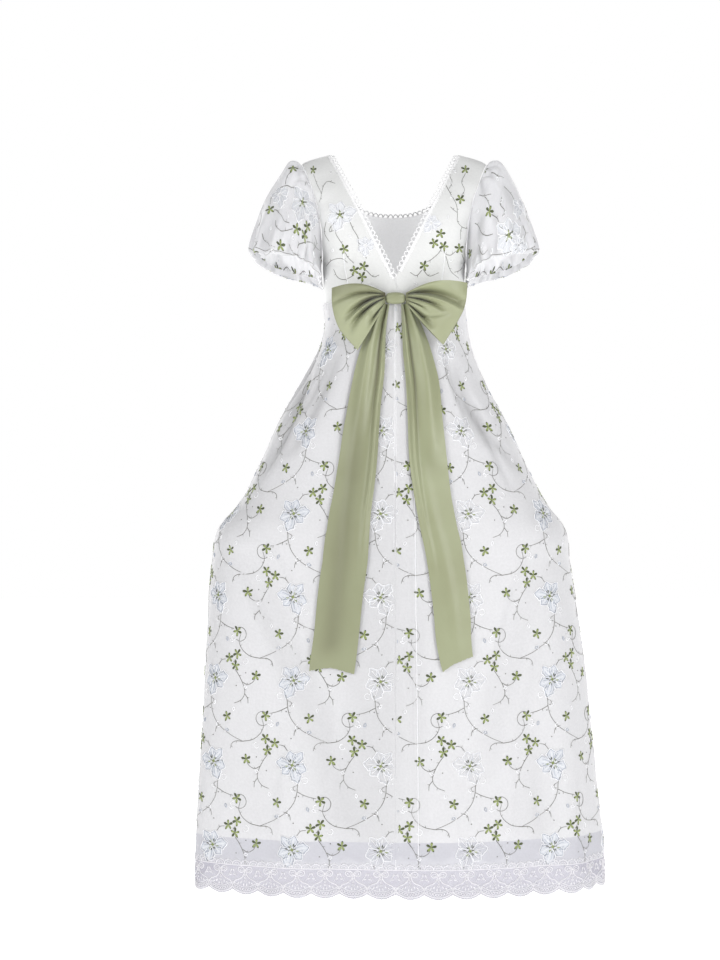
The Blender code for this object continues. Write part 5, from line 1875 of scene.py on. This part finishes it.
# Flowers over the outer side of a sleeve, forward of its ridge: place round it and down from the armhole
SLEEVE_SIDE_PLAN = {
    "large": ((-42, -150, 15),),
    "green": ((-22, -50, 20), (-54, -82, 50), (-18, -100, 5), (-66, -204, 30), (-16, -206, 60)),
    "vines": (
        ((-24, -58), (-34, -66), (-40, -76), (-50, -78)),
        ((-54, -90), (-44, -100), (-36, -98), (-24, -102)), ((-44, -176), (-50, -190), (-62, -198)),
        ((-36, -178), (-26, -190), (-20, -200)), ((-18, -108), (-14, -122), (-22, -134)),
    ),
    "drops": ((-62, -112), (-32, -118), (-16, -78), (-72, -166), (-20, -160)),
}
# The same flowers where they show on the inner side of the front, near the lower edge: x outwards, and height
SLEEVE_INNER_PLAN = {
    "green": ((250, -200, 20), (222, -210, 50), (190, -217, 10), (160, -226, 35)),
    "vines": (
        ((244, -206), (238, -214), (230, -212)), ((214, -212), (207, -204), (200, -212)),
        ((210, -220), (203, -227), (196, -224)), ((182, -218), (174, -212), (168, -220)),
        ((256, -192), (262, -184), (258, -176)),
    ),
    "drops": ((236, -220), (176, -228)),
}
SLEEVE_PLANS = {
    "sleeve_left": {
        "large": ((172, -100, 10),), "pale": ((214, -83, 40), (150, -125, 10)),
        "green": ((191, -31, 20), (233, -109, 35), (181, -152, 0), (163, -146, 30), (168, -164, 60),
                  (212, -180, 10), (136, -193, 45), (263, -188, 25)),
        "vines": (
            ((182, -82), (188, -71), (202, -66), (218, -72), (230, -85), (233, -100)),
            ((222, -133), (220, -145), (211, -154), (190, -151)),
            ((180, -187), (176, -179), (158, -175), (141, -186)), ((248, -154), (240, -171), (222, -182)),
            ((196, -40), (202, -50), (204, -64)), ((150, -160), (146, -176), (152, -190)),
            ((225, -112), (215, -120), (206, -134), (196, -140)),
            ((246, -96), (253, -112), (251, -126), (259, -141)),
            ((263, -160), (258, -174), (264, -190), (262, -200)), ((172, -36), (164, -50), (168, -66)),
            ((228, -188), (240, -196), (246, -190)), ((196, -178), (190, -192), (178, -200)),
        ),
        "drops": ((205, -110), (198, -130), (232, -150), (150, -202), (160, -60), (218, -52),
                  (190, -170), (230, -186)),
    },
    "sleeve_right": {
        "large": ((-211, -162, 30),), "pale": ((-231, -178, 0), (-236, -104, 20)),
        "green": ((-170, -35, 20), (-176, -118, 0), (-142, -192, 30), (-263, -192, 60)),
        "vines": (
            ((-159, -64), (-150, -71), (-148, -82)), ((-159, -85), (-168, -87), (-180, -85)),
            ((-168, -89), (-174, -100), (-176, -110)),
            ((-150, -138), (-156, -143), (-162, -158), (-170, -164), (-182, -161)),
            ((-156, -180), (-162, -198), (-173, -189)),
            ((-205, -68), (-219, -82), (-226, -101), (-231, -119), (-236, -134)),
            ((-180, -124), (-190, -132), (-194, -146), (-204, -152)),
            ((-247, -86), (-252, -104), (-249, -120), (-257, -136)),
            ((-260, -154), (-264, -168), (-259, -180), (-262, -188)),
            ((-182, -40), (-194, -48), (-206, -50)),
            ((-200, -90), (-196, -104), (-204, -116), (-200, -128)),
            ((-240, -140), (-246, -156), (-240, -172), (-228, -186)),
        ),
        "drops": ((-190, -52), (-196, -100), (-190, -140), (-240, -160), (-180, -196), (-206, -118),
                  (-164, -176), (-158, -112)),
    },
}
# Repeats of the skirt's embroidery on the front of the bodice: height, mirrored or not, and how many
FRONT_REPEAT_ROWS = ((-0.145, -1, 3), (-0.306, 1, 3), (0.016, 1, 2))
FRONT_REPEAT_X = (0.055, -0.107, 0.217)
front_places = [
    (x, z, mirror, 0, 1.0) for z, mirror, count in FRONT_REPEAT_ROWS for x in FRONT_REPEAT_X[:count]
]
for node, piece in bodice.items():
    depsgraph = bpy.context.evaluated_depsgraph_get()
    tree = BVHTree.FromObject(piece, depsgraph)
    if node == "bodice_front":
        face, flat = -1, stamp(motif, front_places)
    else:
        face, flat = 1, free_embroidery(BACK_PLANS[node], back_flat, fill=PETAL_LIGHT)
    dress(laid(node + "_embroidery", flat, ray_placer(tree, face), THREADS), [], "organza")

sleeves = make_sleeves()
for node, piece in sleeves.items():
    side = SIDES[node.split("_")[1]]
    dress(piece, [node], "organza", flat=(SLEEVE_CLOTH_WIDE, 0.27), held="gathered",
          rests_on=["bodice_front_organza"], area=0.10)
    spots = [(-0.12 * side, -0.03, 1, 0, 1.0), (-0.10 * side, -0.175, -1, 0, 1.0),
             (-0.19 * side, -0.10, 1, 30, 0.9)]
    lay = sleeve_placer(side)
    front, behind = stamp(motif, spots), free_embroidery(SLEEVE_PLANS[node], sleeve_flat(side))
    hidden = front[0][front[1]].mean(axis=1)[:, 0] * side < -0.012
    front = (front[0], front[1][hidden], front[2][hidden])
    outer = free_embroidery(SLEEVE_SIDE_PLAN, lambda x, z: (x * side, z), lambda *_: np.eye(2))
    flat = joined_flat(front, outer, behind, sleeve_hem_line(side))
    dress(laid(node + "_embroidery", flat, lay, THREADS), [], "organza")
    find_inner = sleeve_flat(side, -1)
    flat = free_embroidery(SLEEVE_INNER_PLAN, lambda x, z: find_inner(x * side, z), lambda *_: np.eye(2))
    flat = (flat[0], flat[1][:, ::-1], flat[2])
    dress(laid(node + "_inner_embroidery", flat, sleeve_placer(side, inner=True), THREADS), [], "organza")

for node, piece in make_braid().items():
    dress(piece, [node], "lace")
for node, piece in make_loops().items():
    dress(piece, [node], "satin", flat=(0.23, 0.13), held="folded", rests_on=["bow_knot_satin"], area=0.02)
for node, piece in make_tails().items():
    dress(piece, [node], "satin", flat=(0.09, 0.69), held="hung", rests_on=["bow_knot_satin"])
dress(make_knot(), ["bow_knot"], "satin")

# Floor, light and camera
FLOOR_Z = -1.495
FLOOR_SIZE = 24.0
FLOOR_GLOW = 0.80
# What the side lights are turned to, and how bright the white surroundings light the dress
MIDDLE = (0.0, 0.0, -0.8)
SKY_LIGHT = 0.43
# The photo's camera: level, behind the dress, and at the height of its upper skirt
CAMERA_PLACE = (0.0646, 4.2, -0.617)
CAMERA_LENS = 82.9


def make_stage():
    bpy.ops.object.select_all(action="DESELECT")
    bpy.ops.mesh.primitive_plane_add(size=FLOOR_SIZE, location=(0.0, 0.0, FLOOR_Z))
    floor = bpy.context.object
    floor.name = "pale_floor"
    bpy.ops.object.transform_apply(location=True, rotation=True, scale=True)
    material, _, shader = new_material("pale_floor_paint", (0.93, 0.93, 0.93), 0.9)
    glow(shader, FLOOR_GLOW)
    floor.data.materials.append(material)


def add_light(name, place, target, size, power):
    lamp = bpy.data.lights.new(name, "AREA")
    lamp.shape = "RECTANGLE"
    lamp.size, lamp.size_y = size
    lamp.energy = power
    holder = bpy.data.objects.new(name, lamp)
    holder.location = place
    holder.rotation_euler = (Vector(target) - Vector(place)).to_track_quat("-Z", "Y").to_euler()
    bpy.context.scene.collection.objects.link(holder)


make_stage()
add_light("key_window", (-2.5, 3.8, 0.3), MIDDLE, (1.4, 1.9), 67.0)
add_light("fill_window", (2.9, 3.5, 0.3), MIDDLE, (1.8, 2.2), 48.0)
add_light("front_key", (2.5, -3.8, 0.3), MIDDLE, (1.4, 1.9), 54.0)
add_light("front_fill", (-2.9, -3.5, 0.3), MIDDLE, (1.8, 2.2), 42.0)
add_light("top_panel", (0.0, 0.4, 3.2), (0.0, 0.0, -0.4), (3.0, 3.0), 14.0)

world = bpy.data.worlds.new("white_studio")
bpy.context.scene.world = world
world.use_nodes = True
sky = world.node_tree.nodes["Background"]
sky.inputs["Color"].default_value = (1.0, 1.0, 1.0, 1.0)
seen = world.node_tree.nodes.new("ShaderNodeLightPath")
strength = world.node_tree.nodes.new("ShaderNodeMix")
strength.inputs["A"].default_value = SKY_LIGHT
strength.inputs["B"].default_value = 1.0
world.node_tree.links.new(seen.outputs["Is Camera Ray"], strength.inputs["Factor"])
world.node_tree.links.new(strength.outputs["Result"], sky.inputs["Strength"])
bpy.context.scene.view_settings.view_transform = "Standard"

camera = bpy.data.objects.new("camera", bpy.data.cameras.new("camera"))
camera.data.lens = CAMERA_LENS
camera.data.sensor_width = 36.0
camera.location = CAMERA_PLACE
camera.rotation_euler = (math.radians(90.0), 0.0, math.radians(180.0))
bpy.context.scene.collection.objects.link(camera)
bpy.context.scene.camera = camera

bpy.context.view_layer.update()
